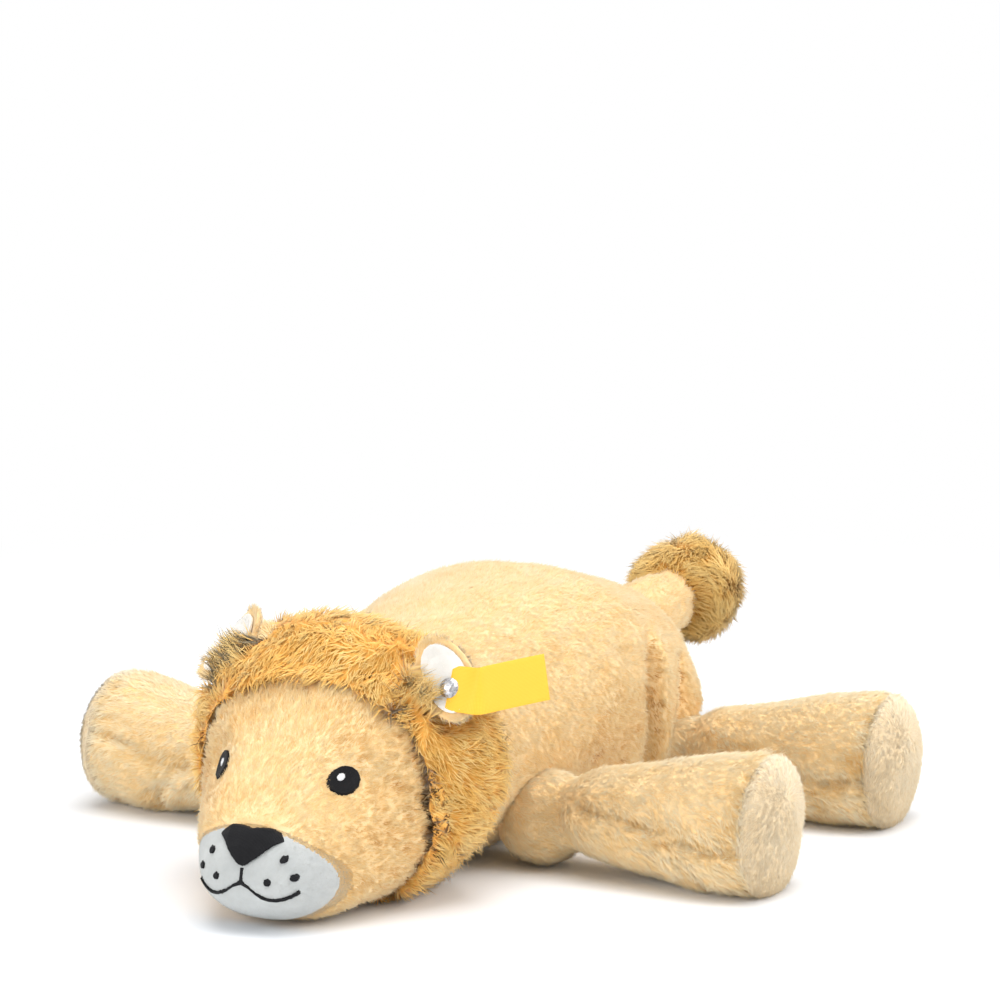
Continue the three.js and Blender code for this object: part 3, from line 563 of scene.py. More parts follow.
def tufted(points, tufts):
    """Ridges, 0 to 1, that run along the flow: how short pile lies in tufts."""
    flow, size, stretch, seed = tufts
    flow = unit(np.broadcast_to(flow, points.shape))
    along = (points * flow).sum(1, keepdims=True)
    wander = 0.5 * size * ripples(points, 1.7 * size, range(seed + 5, seed + 8))
    squeezed = points + wander - flow * along * (1 - 1 / stretch)
    return 1 - np.abs(ripple(squeezed, size, seed)) * 1.6


def tuft_painted_shading(roots, tufts, contrast):
    """Painted shade between the tufts and painted light on their ridges: pale on the ridges and deeper between
    them, as the relief under them lies.
    """
    return contrast * (tufted(roots, tufts) - 0.58)


def raise_tufts(piece, tufts, height):
    """The last small relief on a skin, with height in millimetres, one value or one for each point."""
    puff(piece, height * (tufted(points_of(piece), tufts) - 0.6))


# Seams, folds and creases: each is a line of places that the skin is drawn in along.
flank_dart = [(58.5, 36.0, 77), (61.5, 32, 68), (63, 28, 52), (62, 34, 33), (60, 38, 16)]
flank_tuck = [(57, 62, 60), (60, 60, 46), (61, 54, 30), (58, 52, 14)]
leg_seams = {
    "front_left": [
        [(74, -67, 30), (88, -70, 28.8), (101, -70.5, 27.7), (110, -70.5, 24.8),
         (118, -71, 24.3), (128, -72.5, 22.3), (140, -74.5, 22.3), (148, -74, 24)],
        [(116, -71, 22), (122, -70, 15), (127, -68, 9), (134, -61, 2)],
    ],
    "front_right": [
        [(-72, -66, 24), (-90, -68, 25), (-104, -66, 25), (-119, -66, 27), (-133, -66, 31), (-146, -66, 34)],
        [(-104, -66, 25), (-112, -64, 18), (-119, -63, 12), (-121, -58, 4)],
    ],
    "hind_left": [
        [(76, 47, 30), (90, 45, 31), (104, 44, 26), (118, 43, 24), (132, 43, 22), (147, 43, 24)],
        [(118, 43, 24), (125, 44, 15), (131, 48, 6)],
    ],
    "hind_right": [
        [(-76, 47, 30), (-92, 45, 30), (-108, 44, 27), (-124, 43, 25), (-147, 43, 25)],
        [(-110, 44, 25), (-116, 45, 15), (-120, 49, 5)],
    ],
}


def dart_form(points, side):
    """The dart on one flank: the cloth sinks slowly from the front and stands up in a flap behind."""
    line = np.array(flank_dart)[::-1]
    middle = np.interp(points[:, 2] / MM, line[:, 2], line[:, 1])
    behind = points[:, 1] / MM - middle
    dip = 3.0 * np.exp(-np.abs(behind) / 5) * (behind < 0) + 6.5 * hump(behind, 0, 1.7)
    flap = 4.6 * hump(behind, 6.5, 4.2)
    reach = share((points[:, 2] / MM - 8) / 10) * share((80 - points[:, 2] / MM) / 12)
    return reach * (points[:, 0] * side > 0.035) * (flap - dip)


def line_mm(line, mirror=1):
    return [(mirror * x * MM, y * MM, z * MM) for x, y, z in line]


# How plush cloth gives while it is stuffed, and for how many steps of the simulation.
PLUSH_CLOTH = {"quality": 4, "mass": 0.2, "tension_stiffness": 12, "compression_stiffness": 12,
               "bending_stiffness": 0.4, "pin_stiffness": 2}
CLOTH_STEPS = 20


def stuff(piece, pressure, give, lines=(), reach=1.0):
    """Lets the stuffing's pressure swell the skin between its sewn lines, by no more than its give."""
    before = points_of(piece)
    pick_up(piece)
    group = piece.vertex_groups.new(name="sewn")
    held = share(near_lines(before, lines, reach) + np.zeros(len(before)))
    for index in np.flatnonzero(held > 0.15):
        group.add([int(index)], float(held[index]), "REPLACE")
    cloth = piece.modifiers.new("Cloth", "CLOTH")
    for setting, value in PLUSH_CLOTH.items():
        setattr(cloth.settings, setting, value)
    cloth.settings.use_pressure = True
    cloth.settings.uniform_pressure_force = pressure
    cloth.settings.effector_weights.gravity = 0
    cloth.settings.vertex_group_mass = "sewn"
    cloth.collision_settings.use_collision = False
    cloth.point_cache.frame_start, cloth.point_cache.frame_end = 1, CLOTH_STEPS
    for step in range(1, CLOTH_STEPS + 1):
        bpy.context.scene.frame_set(step)
    bpy.ops.object.modifier_apply(modifier=cloth.name)
    piece.vertex_groups.clear()
    bpy.context.scene.frame_set(1)
    move = points_of(piece) - before
    length = np.linalg.norm(move, axis=1, keepdims=True)
    move *= np.minimum(1, give / np.maximum(length, 1e-9))
    set_points(piece, before + move)


# The lie of the tufts on the body and the face: their flow, size, stretch and seed.
BODY_TUFTS = ((0, 1, 0), 4.5 * MM, 2.2, 5)
FACE_TUFTS = ((0, 1, -0.3), 4.4 * MM, 2.0, 14)


# The body: one full skin, with the dart and the tuck that its stuffing leaves on each flank.
def make_body():
    skin = wrap(cast("body_cover", "body_skin"))
    knead(skin, 3.2 * MM, 12)
    darts = [line_mm(flank_dart), line_mm(flank_dart, -1)]
    tucks = [line_mm(flank_tuck), line_mm(flank_tuck, -1)]
    creases = darts + tucks
    stuff(skin, 3.0, 2.0 * MM, creases, 3.5 * MM)
    refine(skin)
    points = points_of(skin)
    swell = 1.1 * ripple(points, 36 * MM, 3) + 0.5 * ripple(points, 14 * MM, 4) - 0.6
    swell -= 3.4 * near_lines(points, tucks, 3.4 * MM)
    for side in (-1, 1):
        swell += dart_form(points, side)
        swell += 4.0 * near(points, (side * 0.060, 0.074, 0.040), (0.014, 0.013, 0.016))
        swell -= 4.0 * near(points, (side * 0.062, -0.004, 0.024), (0.02, 0.030, 0.018))
    puff(skin, swell)
    finish_with(skin, "SMOOTH", factor=0.4, iterations=1)
    points = points_of(skin)
    ruff = share(1.2 - (points[:, 1] + 0.105) / 0.045)
    low = share(1 - points[:, 2] / 0.05)
    rough = share(near_lines(points, creases, 6 * MM) + ruff * 0.8 + low * 0.6)
    raise_tufts(skin, BODY_TUFTS, 0.15 + 0.8 * rough)
    dress(skin, "body", plush_backing)
    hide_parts("body_cover", "body_filling", "pellet_pouch")
    roots, normals = roots_on(skin, "body", 21, lambda at, _: (at[:, 1] > -0.122) & (at[:, 2] > 1.5 * MM))
    flow = np.stack([0.1 * np.sign(roots[:, 0]), np.ones(len(roots)), -9 * np.abs(roots[:, 0])], 1)
    folds = near_lines(roots, creases, 5 * MM)
    # Painted shade on the body's pile: deeper between tufts low down and in the folds, darker in the hollow of
    # each flank, and darkest along the dart and tuck, where the pile is also shorter.
    slit = share(near_lines(roots, creases, 2.5 * MM))
    hollow = sum(near(roots, (side * 0.064, -0.002, 0.028), (0.03, 0.042, 0.028)) for side in (-1, 1))
    low = share(1 - roots[:, 2] / 0.06)
    tint = tuft_painted_shading(roots, BODY_TUFTS, 0.12 + 0.2 * share(low + folds))
    pelt("body_pile", "body", "plush", roots, normals, flow, plush_pile, 3.6 * (1 - 0.75 * slit),
         width=0.33, lift=0.4 + 0.2 * folds, gather=0.5,
         pale=0.1 + tint - 0.3 * hollow - 0.8 * slit, seed=31)


def middle_of(node):
    low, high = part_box(node)
    return (np.array(low) + np.array(high)) / 2


# A leg's middle height, and on its sole, as shares of the way to the seam, where the leg's skin stops inside
# the seam and the sole's velour stops outside it.
LEG_HEIGHT = 0.0195
SKIN_STOPS, SOLE_STOPS = 0.985, 1.08
SEAM_ANGLE = math.radians(74)


def leg_axis(leg):
    """The middle of a leg's hip, and the way that the leg points."""
    centre, tip = middle_of(f"{leg}_leg_root"), middle_of(f"{leg}_sole")
    centre[2] = tip[2] = LEG_HEIGHT
    return centre, unit(tip - centre)


def cut_away(piece, cut):
    """Deletes the marked points with their faces."""
    pick_up(piece)
    for parts in (piece.data.polygons, piece.data.edges):
        parts.foreach_set("select", np.zeros(len(parts), dtype=bool))
    piece.data.vertices.foreach_set("select", cut)
    bpy.ops.object.mode_set(mode="EDIT")
    bpy.ops.mesh.select_mode(type="VERT")
    bpy.ops.mesh.delete(type="VERT")
    bpy.ops.object.mode_set(mode="OBJECT")


def twin(piece, name):
    """A second piece of the same form, with its own mesh."""
    return bring_in(name, piece.data.copy())


def make_leg(leg):
    """A leg: one stuffed skin from the hip to the paw, and a paler sole."""
    centre, out = leg_axis(leg)
    skin = wrap(cast(f"{leg}_leg_cover", f"{leg}_leg_skin"))
    sole_end = wrap(cast(f"{leg}_sole", "sole_end"))
    join_up(skin, sole_end, wrap(cast(f"{leg}_leg_root", "hip")))
    knead(skin, 2.6 * MM, 12)
    seams = [line_mm(line) for line in leg_seams[leg]]
    tufts = (out, 4.0 * MM, 2.6, 8)
    stuff(skin, 3.0, 2.0 * MM, seams, 3 * MM)
    refine(skin)
    points = points_of(skin)
    pucker = 1 + 0.7 * ripple(points, 6 * MM, 10)
    swell = 0.9 * ripple(points, 24 * MM, 6) + 0.5 * ripple(points, 10 * MM, 7)
    swell -= 2.2 * pucker * near_lines(points, seams, 2.6 * MM)
    swell += 1.3 * pucker * near_lines(points + (0, 0, 5 * MM), seams, 4 * MM)
    swell += 1.2 * hump((points - centre) @ out, 0.074, 0.014)
    puff(skin, swell)
    finish_with(skin, "SMOOTH", factor=0.4, iterations=2)

    points = points_of(skin)
    side = np.cross([0, 0, 1], out)
    along = (points - centre) @ out
    end = along > along.max() - 12 * MM
    across, up = (points - centre) @ side, points[:, 2]
    mid_up, half_up = (up[end].max() + up[end].min()) / 2, np.ptp(up[end]) / 2
    mid_across, half_across = across[end].mean(), np.ptp(across[end]) / 2
    inside = along.max() - 15 * MM

    def sole_share(places):
        """How far out on the sole a place lies, as an angle from inside the paw: 1 is its seam."""
        a = ((places - centre) @ side - mid_across) / half_across
        b = (places[:, 2] - mid_up) / half_up
        radius = np.hypot(a, b) * (half_across + half_up) / 2
        angle = np.arctan2(radius, (places - centre) @ out - inside)
        return angle / SEAM_ANGLE + 0.035 * ripple(places, 8 * MM, 9)

    rank = sole_share(points)
    dome = 4.5 * share(1 - rank**2) + 0.6 / (1 + np.exp((rank - 0.98) / 0.03))
    dome -= hump(rank, 1.02, 0.05)
    puff(skin, dome)
    bend = (f"{leg}_hip", f"{leg}_leg", tuple(centre), tuple(centre + out * 0.03))
    sole = twin(skin, f"{leg}_sole_velour")
    points = points_of(skin)
    rank = sole_share(points)
    rough = share(near_lines(points, seams, 9 * MM) + hump(rank, 1.25, 0.16))
    rough *= share((rank - 1.03) / 0.08)
    raise_tufts(skin, tufts, 0.2 * (rank > 1.05) + 0.7 * rough)
    cut_away(skin, sole_share(points_of(skin)) < SKIN_STOPS)
    cut_away(sole, sole_share(points_of(sole)) > SOLE_STOPS)
    puff(sole, -1.6 * share((sole_share(points_of(sole)) - SKIN_STOPS) / 0.04))
    dress(skin, bend, plush_backing)
    dress(sole, f"{leg}_leg", sole_velour)
    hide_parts(f"{leg}_leg_cover", f"{leg}_leg_filling", f"{leg}_leg_root")
    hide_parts(f"{leg}_sole")

    roots, normals = roots_on(skin, "leg", 43, lambda at, _: (
        (sole_share(at) > SKIN_STOPS) & (at[:, 2] > 1.2 * MM) & (np.abs(at[:, 0]) > 0.042)))
    rank = sole_share(roots)
    rough = share(near_lines(roots, seams, 7 * MM) + hump(rank, 1.08, 0.12))
    flow = np.broadcast_to(out + (0, 0, -0.5), roots.shape)
    # Painted shade on the leg's pile: deeper between tufts near the seams, round the sole and low down, and
    # darker along the seam lines.
    under = share(1 - roots[:, 2] / 0.03)
    rim = hump(rank, 1.0, 0.12)
    tint = tuft_painted_shading(roots, tufts, 0.12 + 0.28 * rough + 0.1 * under)
    slit = share(near_lines(roots, seams, 1.3 * MM) * (0.6 + 0.8 * ripple(roots, 8 * MM, 40)))
    flow = flow - (rim[:, None] * 1.6) * unit(roots - centre - ((roots - centre) @ out)[:, None] * out)
    pelt(f"{leg}_leg_pile", bend, "plush", roots, normals, flow, plush_pile, 3.6 + 1.0 * rough + 2.2 * rim,
         width=0.33, lift=0.35 + 0.25 * rough, gather=0.35 + 0.35 * rough,
         pale=0.24 + tint - 0.4 * slit, seed=44)
    roots, normals = roots_on(sole, "sole", 45, lambda at, _: (sole_share(at) < 1.01) & (at[:, 2] > 1 * MM))
    flow = roots - middle_of(f"{leg}_sole") + (0, 0, -0.012)
    # The sole's nap is painted paler towards its top, as painted light from above.
    height = share((roots[:, 2] - 0.006) / 0.044)
    pelt(f"{leg}_sole_nap", f"{leg}_leg", "sole_velour", roots, normals, flow, cream_pile, 2.8,
         width=0.32, lift=0.42, gather=0.35, seed=46, pale=0.4 * height)


# The face: a plush skin, with a white velour patch let in round the snout.
eyes = {side: middle_of(f"eye_{side}") for side in SIDES}
nose_middle = middle_of("nose")
MUZZLE_MIDDLE, MUZZLE_HALF_WIDTH, MUZZLE_HALF_HEIGHT = 21.5 * MM, 32 * MM, 19.5 * MM
MUZZLE_BACK = -0.162
# As shares of the way to the patch's edge: the plush stops inside it, and the velour outside.
FACE_STOPS, MUZZLE_STOPS = 0.95, 1.04


def in_muzzle(points):
    """How far out from the middle of the white patch a place lies: 1 is its edge."""
    across, up = points[:, 0] / MUZZLE_HALF_WIDTH, (points[:, 2] - MUZZLE_MIDDLE) / MUZZLE_HALF_HEIGHT
    return np.where(points[:, 1] < MUZZLE_BACK, np.hypot(across, up), 2.0)


def face_form(points):
    """The puffs and hollows of the face, as a move of each place on or near it."""
    move = np.zeros_like(points)
    for side in (-1, 1):
        lip = near(points, (side * 0.012, -0.194, 0.020), (0.011, 0.02, 0.009))
        move += lip[:, None] * (side * 0.2, -1, 0) * 1.4 * MM
    for eye in eyes.values():
        inward = unit(np.array([-eye[0], 0.022, -0.020]))
        hollow = near(points, eye + (0, 0.002, 0.001), (0.010, 0.012, 0.009))
        move += hollow[:, None] * inward * 2.0 * MM
        brow = near(points, eye + (0, 0.008, 0.013), (0.013, 0.014, 0.007))
        move -= brow[:, None] * inward * 1.2 * MM
        turned = near(points, eye, (0.015, 0.016, 0.014))
        move[:, 1] += 0.5 * turned * (np.abs(points[:, 0]) - abs(eye[0]))
        move[:, 0] -= 0.17 * turned * (points[:, 0] - eye[0])
    groove = near_line(points, [(0, -0.199, 0.029), (0, -0.200, 0.021)], 2.2 * MM)
    move += groove[:, None] * (0, 1, 0) * 1.2 * MM
    return move


def make_face():
    skin = cast("face_cover", "face_skin")
    join_up(skin, cast("muzzle_panel", "panel"))
    wrap(skin)
    knead(skin, 2.2 * MM, 6)
    stuff(skin, 2.0, 1.0 * MM)
    refine(skin)
    points, normals = surface_of(skin)
    patch = in_muzzle(points)
    rise = 0.5 / (1 + np.exp((patch - 1.0) / 0.03))
    groove = 0.5 * hump(patch, 1.03, 0.05)
    swell = (0.7 * ripple(points, 22 * MM, 12) + 0.4 * ripple(points, 9 * MM, 13)) * (patch > 1) - 0.7
    set_points(skin, points + normals * ((rise - groove + swell) * MM)[:, None] + face_form(points))
    muzzle = twin(skin, "muzzle_velour")
    points = points_of(skin)
    cheek = share(np.abs(points[:, 0]) / 0.04 - 0.3) * share((points[:, 1] + 0.18) / 0.04)
    raise_tufts(skin, FACE_TUFTS, (0.1 + 1.1 * cheek) * (in_muzzle(points) > 1.05))
    cut_away(skin, in_muzzle(points_of(skin)) < FACE_STOPS)
    cut_away(muzzle, in_muzzle(points_of(muzzle)) > MUZZLE_STOPS)
    dress(skin, "head", plush_backing)
    dress(muzzle, "head", muzzle_velour)
    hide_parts("face_cover", "head_filling")
    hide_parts("muzzle_panel")
    cover_face(skin)
    cover_muzzle(muzzle)


def on_nose(points, slack):
    """True where the nose's rounded triangle covers a place, with some slack round it."""
    up = (points[:, 2] - 0.028) / 0.0125
    half = 0.013 * share(0.15 + 0.85 * up) + slack
    on_height = (up > -0.05) & (points[:, 2] < 0.041 + slack)
    return on_height & (np.abs(points[:, 0]) < half) & (points[:, 1] < -0.18)


def off_eyes(points):
    """How far each place is from the middle of the nearer eye."""
    return np.min([lengths(points - eye) for eye in eyes.values()], axis=0)


def cover_face(skin):
    roots, normals = roots_on(skin, "face", 51, lambda at, _: (
        (in_muzzle(at) > 1.0) & ~on_nose(at, 0.5 * MM) & (at[:, 2] > 1 * MM) & (off_eyes(at) > 6.0 * MM)))
    eye_gap = off_eyes(roots)
    flow = unit(roots - (0, -0.196, 0.032)) + (0, 0.5, -0.2)
    nose_gap = lengths(roots - nose_middle)
    cheek = share((nose_gap - 30 * MM) / (30 * MM))
    length = (2.4 + 1.4 * cheek) * np.clip(0.4 + (eye_gap - 5 * MM) / (8 * MM), 0.4, 1)
    length *= np.clip(0.5 + (nose_gap - 12 * MM) / (14 * MM), 0.5, 1)
    length += hump(in_muzzle(roots), 1.0, 0.12) * (nose_gap > 15 * MM)
    # Painted shade on the face's pile: deeper between tufts on the sides of the cheeks, and those cheek sides
    # painted darker.
    side = share(np.abs(roots[:, 0]) / 0.045)
    tint = tuft_painted_shading(roots, FACE_TUFTS, 0.08 + 0.16 * cheek * side)
    pelt("face_pile", "head", "plush", roots, normals, flow, plush_pile, length, width=0.31,
         lift=0.34 + 0.2 * cheek * side, clump=3.4, gather=0.35 + 0.5 * cheek * side, seed=52,
         pale=-0.01 + tint - 0.1 * cheek * side)


def cover_muzzle(muzzle):
    roots, normals = roots_on(muzzle, "muzzle", 53, lambda at, _: (in_muzzle(at) < 1.01) & ~on_nose(at, 0))
    flow = roots - (0, -0.2, 0.030) + (0, 0.003, -0.004)
    pelt("muzzle_nap", "head", "velour", roots, normals, flow, muzzle_pile, 0.8,
         width=0.15, lift=0.3, clump=1.5, gather=0.15, seed=54, swirl=0.2)


def draw_nose(points):
    """Pulls the nose's top corners out to points, and its sides straight down to the tip."""
    low, high = points[:, 2].min(), points[:, 2].max()
    levels = np.linspace(low, high, 22)
    step = np.clip(((points[:, 2] - low) / (high - low) * 21).astype(int), 0, 20)
    half = np.array([np.abs(points[step == k, 0]).max() for k in range(21)])
    up = (points[:, 2] - low) / (high - low)
    wanted = np.where(up < 0.8, 0.9 + 13.6 * up / 0.8, 14.5 - 3.0 * (up - 0.8) / 0.2) * MM
    drawn = points.copy()
    drawn[:, 0] *= 0.15 + 0.85 * wanted / np.interp(points[:, 2], (levels[1:] + levels[:-1]) / 2, half)
    corner = share((np.abs(drawn[:, 0]) - 9 * MM) / (5 * MM)) * share((up - 0.5) / 0.3)
    drawn[:, 2] -= 1.6 * corner * MM
    drawn[:, 1] += 1.2 * corner * MM
    drawn[:, 2] += 1.3 * MM * near(points, (0, -0.197, 0.0395), (0.0045, 0.01, 0.004))
    return drawn


def make_stitching():
    """The stitched features, each sunk into the skin that carries it."""
    pieces = [("nose", "nose_stitch", nose_satin, 0.45, 0.2),
              ("mouth_stitching", "mouth_stitch", line_thread, 0.26, -0.3)]
    for side in SIDES:
        pieces.append((f"eye_{side}", f"eye_{side}_stitch", eye_satin, 0.35, -0.2))
        pieces.append((f"eye_glint_{side}", f"eye_{side}_highlight", glint_thread, 0.2, -0.35))
        for index in (1, 2, 3):
            node = f"whisker_dot_{side}_{index}"
            pieces.append((node, f"{node}_stitch", line_thread, 0.26, -0.3))
    inside = (0, -0.14, 0.030)
    for node, name, finish, grain, fuller in pieces:
        piece = cast(node, name)
        knead(piece, grain * MM, 3, factor=0.5)
        points, normals = surface_of(piece)
        inner = (normals * unit(inside - points)).sum(1) > 0.5
        points = points + normals * np.where(inner, 1.0, fuller)[:, None] * MM
        if finish is line_thread:
            points += unit(inside - points) * 0.45 * MM
        if "glint" in node:
            points = points.mean(0) + (points - points.mean(0)) * (0.72, 1, 0.85)
        if node == "nose":
            points = draw_nose(points)
        set_points(piece, points + face_form(points))
        refine(piece)
        dress(piece, "head", finish)
        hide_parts(node)


# The mane: a thick ring of longer pile that lies in tufts. Each ear has a longer lock in front of it: its
# length in millimetres, and how far from the ear it starts.
EAR_LOCKS = {"left": (12.0, 18 * MM), "right": (11.0, 21 * MM)}
EAR_FRONT = np.array([0, -0.91, 0.41])


def out_of_ring(places):
    """The way out from the middle of the mane's ring."""
    return unit((places - (0, 0, 0.052)) * (1, 0, 1))


def make_mane():
    skin = cast("mane", "mane_skin")
    knead(skin, 3 * MM, 8)
    points, normals = surface_of(skin)
    set_points(skin, points - normals * 2.6 * MM)
    knead(skin, 2.4 * MM, 4)
    refine(skin)
    points = points_of(skin)
    puff(skin, 1.3 * ripple(points, 17 * MM, 60) + 0.8 * ripple(points, 8 * MM, 67))
    radial = out_of_ring(points_of(skin))
    raise_tufts(skin, (radial + (0, 0.6, 0), 5.0 * MM, 1.8, 68), 1.5)
    dress(skin, "head", mane_backing)
    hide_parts("mane")

    def outward(places, normals):
        """1 where the ring's skin faces out, and -1 where it faces the neck."""
        return (normals * out_of_ring(places)).sum(1)

    roots, normals = roots_on(skin, "mane", 61, lambda at, facing: (
        ((outward(at, facing) > -0.8) | (facing[:, 1] < 0.3)) & (at[:, 2] > 1.5 * MM)))
    radial = out_of_ring(roots)
    front = share(-1.4 * normals[:, 1])
    top = share(radial[:, 2])
    over_brow = (front * top)[:, None]
    flow = radial * 0.5 + (0, 0.5, -0.25)
    flow = flow * (1 - over_brow) + ((0, -0.5, 0) - radial * 0.5) * over_brow
    inner = (share(0.3 - outward(roots, normals)) * (1 - top))[:, None]
    flow = flow * (1 - inner) + ((0, -0.6, 0) + radial * 0.2) * inner
    flow = flow + 0.5 * ripples(roots, 13 * MM, (64, 65, 66))
    pelt("mane_pile", "head", "mane_plush", roots, normals, flow, mane_pile, 7.0 - 1.2 * front,
         width=0.41, lift=0.42, clump=5.0, gather=0.5, droop=0.04, bends=2, seed=62,
         mottle=12, soft=0.94, shades_apart=0.3, pale=0.06)
    for side in SIDES:
        lock_over_ear(skin, side, *EAR_LOCKS[side])


def lock_over_ear(skin, side, length, reach):
    """Longer mane pile in front of one ear, which lies up over the ear's lower half."""
    middle = middle_of(f"ear_{side}_lining")
    away = unit((middle - joint_of(f"ear_{side}_fold")[0]) * (1, 0, 1))
    roots, normals = roots_on(skin, "lock", 69, lambda at, _: (
        (lengths(at - middle) < reach) & ((at - middle) @ EAR_FRONT > 0)
        & ((at - middle) @ away < -1 * MM)))
    flow = unit(middle - roots) * 0.5 + away + EAR_FRONT * 0.15
    # The locks are painted paler than the mane, as painted light where they lie in shadow.
    pelt(f"mane_lock_{side}", "head", "mane_plush", roots, normals, flow, mane_pile, length,
         width=0.36, lift=0.36, clump=4.0, gather=0.3, curl=0.08, bends=2, seed=70, soft=0.9, swirl=0.2,
         shades_apart=0.2, pale=0.2)


def make_ear(ear):
    """One ear: a plush back, and a white lining let in behind its rim."""
    back, lining = cast(f"{ear}_back", f"{ear}_plush"), cast(f"{ear}_lining", f"{ear}_lining_velour")
    knead(back, 0.8 * MM, 4)
    knead(lining, 0.5 * MM, 3)
    refine(back)
    refine(lining)
    dress(back, ear, plush_backing)
    dress(lining, ear, lining_velour)
    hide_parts(f"{ear}_back")
    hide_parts(f"{ear}_lining")
    ear_root = joint_of(f"{ear}_fold")[0]
    points = points_of(lining)
    front = unit(middle_of(f"{ear}_lining") - middle_of(f"{ear}_back"))
    middle = points.mean(0)
    half = lengths(points - middle).max()
    roots, normals = roots_on(back, "ear", 71, lambda at, facing: (
        (facing @ front < 0.3) | (lengths(at - middle) > 0.98 * half)))
    pelt(f"{ear}_pile", ear, "plush", roots, normals, roots - ear_root, plush_pile, 2.6,
         gather=0.35, seed=72, pale=0.1)
    roots, normals = roots_on(lining, "lining", 73, lambda _, facing: facing @ front > 0.2)
    pelt(f"{ear}_nap", ear, "velour", roots, normals, roots - ear_root, lining_pile, 1.0,
         width=0.16, lift=0.3, clump=1.8, gather=0.2, seed=74)


# The way up the ear, which the tag's short edges follow, and how far from the rivet the free end of the CAD
# tag starts.
EAR_EDGE = np.array([0, 0.41, 0.91])
TAG_END_FROM = 34 * MM


def make_tag():
    """The tag: a bare strip of woven ribbon, held flat on the ear by the rivet and bent back past its edge."""
    rivet, through = joint_of("tag_swivel")
    through = unit(through)
    ear = points_of(frame["nodes"]["ear_left_back"])
    tag = points_of(frame["nodes"]["ear_tag"])
    free_end = tag[lengths(tag - rivet) > TAG_END_FROM].mean(0)
    edge = unit(EAR_EDGE - (EAR_EDGE @ through) * through)
    flat = unit(np.cross(edge, through))
    flat = flat if flat @ (free_end - rivet) > 0 else -flat
    band = ear[np.abs((ear - rivet) @ edge) < 6 * MM]
    rim = ((band - rivet) @ flat).max() + 1.2 * MM
    lining = points_of(frame["nodes"]["ear_left_lining"])
    high, wide = (lining - rivet) @ through, (lining - rivet) @ flat
    beside = np.abs((lining - rivet) @ edge) < 5 * MM
    at_rivet = high[beside & (np.abs(wide) < 3 * MM)].min() - 0.5 * MM
    at_rim = high[beside & (wide > 0)].min() - 0.9 * MM
    start = rivet + through * at_rivet + flat * -0.3 * MM
    bend_at = rivet + through * at_rim + flat * rim
    bpy.ops.mesh.primitive_grid_add(x_subdivisions=30, y_subdivisions=10, size=2)
    ribbon = bpy.context.object
    ribbon.name = "ear_tag_ribbon"
    grid = points_of(ribbon)
    total, half_width = TAG_SIZE[0], TAG_SIZE[1] / 2
    along = (grid[:, 0] + 1) / 2 * total
    to_bend = np.linalg.norm(bend_at - start)
    heading = unit(free_end - bend_at + (0, 0, -0.2 * MM))
    upright = unit(edge - (edge @ heading) * heading)
    turn = share((along - to_bend + 6 * MM) / (12 * MM))
    turn = (turn * turn * (3 - 2 * turn))[:, None]
    straight = start + unit(bend_at - start) * along[:, None]
    after = bend_at + heading * (along - to_bend)[:, None]
    middle = straight * (1 - turn) + after * turn
    cross = unit(edge * (1 - turn) + upright * turn)
    curl = unit(np.cross(heading, upright)) * (0.7 * np.sin(along / total * 5.2) * MM)[:, None]
    set_points(ribbon, middle + cross * (grid[:, 1] * half_width)[:, None] + curl * turn)
    finish_with(ribbon, "SOLIDIFY", thickness=0.5 * MM, offset=0)
    finish_with(ribbon, "BEVEL", width=0.12 * MM, segments=2, limit_method="ANGLE")
    pick_up(ribbon)
    bpy.ops.object.shade_smooth_by_angle(angle=math.radians(50))
    dress(ribbon, "tag", ribbon_weave)
    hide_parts("ear_tag")


def finish_solids():
    """The rivet, its washer and the neck's gathered cloth keep their CAD solids, with finishes of their own."""
    finishes = {"ear_rivet": rivet_steel, "rivet_washer": rivet_steel, "neck_closure": pouch_cloth}
    for node, finish in finishes.items():
        materials = frame["nodes"][node].data.materials
        materials.clear()
        materials.append(finish)


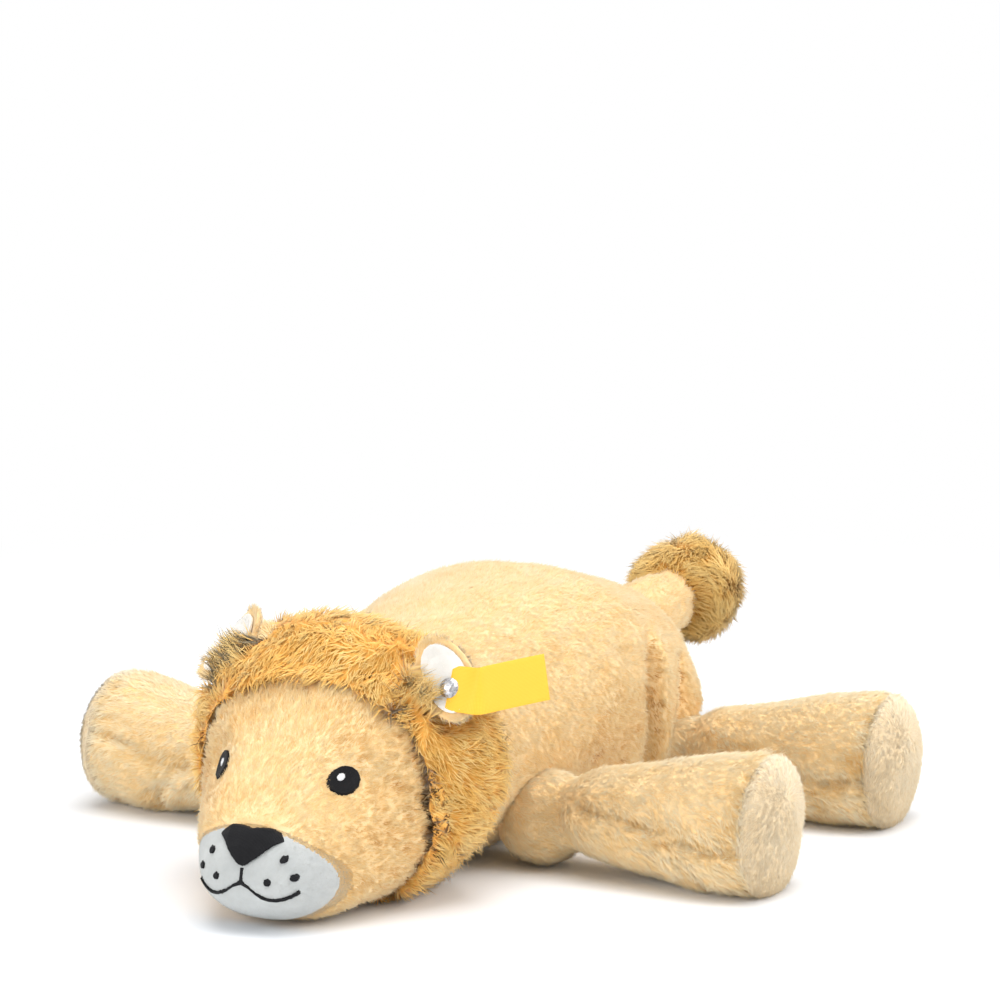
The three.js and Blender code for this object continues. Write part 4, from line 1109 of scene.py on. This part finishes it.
def make_tail():
    """The tail: a plush stem, and a tuft of long pile that stands out round its end."""
    stem = wrap(cast("tail_cover", "tail_stem_skin"))
    join_up(stem, wrap(cast("tail_root", "base")))
    knead(stem, 2.2 * MM, 8)
    refine(stem)
    puff(stem, 0.8 * ripple(points_of(stem), 12 * MM, 15))
    raise_tufts(stem, ((0, 1, 0), 4.0 * MM, 1.8, 16), 0.9)
    start = joint_of("tail_lift")[0]
    bend = ("tail_base", "tail", tuple(start), tuple(start + (0, 0.014, 0)))
    dress(stem, bend, plush_backing)
    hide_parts("tail_cover", "tail_filling", "tail_root")
    roots, normals = roots_on(stem, "stem", 83, lambda at, _: at[:, 1] > 0.1)
    flow = np.broadcast_to((0, 1.0, -0.15), roots.shape)
    pelt("tail_stem_pile", bend, "plush", roots, normals, flow, plush_pile, 2.8,
         width=0.32, lift=0.45, gather=0.4, seed=84, pale=0.03)

    tuft = wrap(cast("tail_tuft", "tail_tuft_skin"))
    knead(tuft, 2.6 * MM, 6)
    middle = middle_of("tail_tuft")
    set_points(tuft, middle + (points_of(tuft) - middle) * (0.84, 0.8, 0.76))
    refine(tuft)
    points = points_of(tuft)
    puff(tuft, 1.2 * ripple(points, 13 * MM, 90) + 0.4 * ripple(points, 6 * MM, 91))
    dress(tuft, "tail", mane_backing)
    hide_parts("tail_tuft")
    roots, normals = roots_on(tuft, "tuft", 85, lambda at, _: at[:, 2] > 0)
    end = points_of(stem)
    end = end[end[:, 1] > end[:, 1].max() - 8 * MM].mean(0)
    # Round the stem's end the tuft is painted darker, as painted shade where it meets the stem.
    rim = near(roots, end, (0.015, 0.015, 0.015))
    flow = unit(roots - end) + 0.35 * ripples(roots, 12 * MM, (87, 88, 89))
    pelt("tail_tuft_pile", "tail", "mane_plush", roots, normals, flow, mane_pile,
         8.5 + 2.0 * ripple(roots, 8 * MM, 92), width=0.4, lift=0.55, clump=5.0, gather=0.35,
         droop=0.02, bends=2, seed=86, mottle=12, pale=0.14 - 0.45 * rim, soft=0.95, swirl=0.2,
         shades_apart=0.2)


def make_studio():
    bpy.ops.mesh.primitive_plane_add(size=12, location=(0, 0, 0))
    floor = bpy.context.object
    floor.name = "studio_floor"
    finish = new_finish("studio floor", Base_Color=FLOOR_COLOUR, Roughness=0.9, Specular_IOR_Level=0.0)
    place = finish.add("TexCoord").outputs["Object"]
    reach = finish.add("VectorMath", feeds={0: place}, operation="LENGTH").outputs["Value"]
    fade = finish.add("MapRange", {"From Min": FLOOR_FADE[0], "From Max": FLOOR_FADE[1]}, {"Value": reach},
                      interpolation_type="SMOOTHSTEP").outputs["Result"]
    glow = finish.add("Emission", {"Color": WHITE, "Strength": 1.0}).outputs["Emission"]
    matt = finish.nodes["Principled BSDF"]
    fade = finish.reckon("MULTIPLY", fade, seen_directly(finish))
    mix = finish.add("MixShader", feeds={"Fac": fade, 1: matt.outputs["BSDF"], 2: glow})
    finish.fill(finish.nodes["Material Output"], feeds={"Surface": mix.outputs["Shader"]})
    floor.data.materials.append(finish.owner)
    world = bpy.data.worlds.new("studio")
    bpy.context.scene.world = world
    air = Nodes(world)
    light = air.fill(air.nodes["Background"], {"Color": WHITE, "Strength": WORLD_LIGHT})
    plain = air.add("Background", {"Color": WHITE, "Strength": 1.0})
    mix = air.add("MixShader", feeds={"Fac": seen_directly(air), 1: light.outputs["Background"],
                                      2: plain.outputs["Background"]})
    air.fill(air.nodes["World Output"], feeds={"Surface": mix.outputs["Shader"]})
    for name, place, size, power in SOFTBOXES:
        lamp = bpy.data.lights.new(name, "AREA")
        lamp.shape, lamp.size, lamp.energy = "SQUARE", size, power
        holder = bring_in(name, lamp)
        holder.location = place
        aim = Vector(LAMPS_AIM_AT) - Vector(place)
        holder.rotation_euler = aim.to_track_quat("-Z", "Y").to_euler()


def seen_directly(tree):
    """1 for what is seen straight on, in gloss or through glass, and 0 for the light that falls on the lion."""
    rays = tree.add("LightPath").outputs
    seen = tree.reckon("MAXIMUM", rays["Is Camera Ray"], rays["Is Glossy Ray"])
    return tree.reckon("MAXIMUM", seen, rays["Is Transmission Ray"])


def level_with(ahead):
    """The camera's right and up, held level, for the way that it looks."""
    right = ahead.cross(Vector((0, 0, 1))).normalized()
    return right, right.cross(ahead)


def make_camera():
    """A long lens from the lion's left front, a little above it."""
    eye, target = Vector(CAMERA_AT), Vector(CAMERA_TARGET)
    beside, below = (pixel - PICTURE / 2 for pixel in TARGET_PIXEL)
    wanted = (target - eye).normalized()
    ahead = wanted.copy()
    for _ in range(6):
        right, up = level_with(ahead)
        ahead = (wanted - right * beside / CAMERA_REACH + up * below / CAMERA_REACH).normalized()
    right, up = level_with(ahead)
    lens = bpy.data.cameras.new("studio_camera")
    lens.sensor_width = SENSOR
    lens.lens = SENSOR * CAMERA_REACH / PICTURE
    lens.clip_end = 20.0
    camera = bring_in("studio_camera", lens)
    camera.matrix_world = Matrix.Translation(eye) @ Matrix((right, up, -ahead)).transposed().to_4x4()
    bpy.context.scene.camera = camera


put_down()
make_camera()
make_studio()
make_body()
for leg in LEGS:
    make_leg(leg)
make_face()
make_stitching()
make_mane()
for side in SIDES:
    make_ear(f"ear_{side}")
make_tag()
make_tail()
finish_solids()

bpy.context.scene.view_settings.view_transform = "Standard"
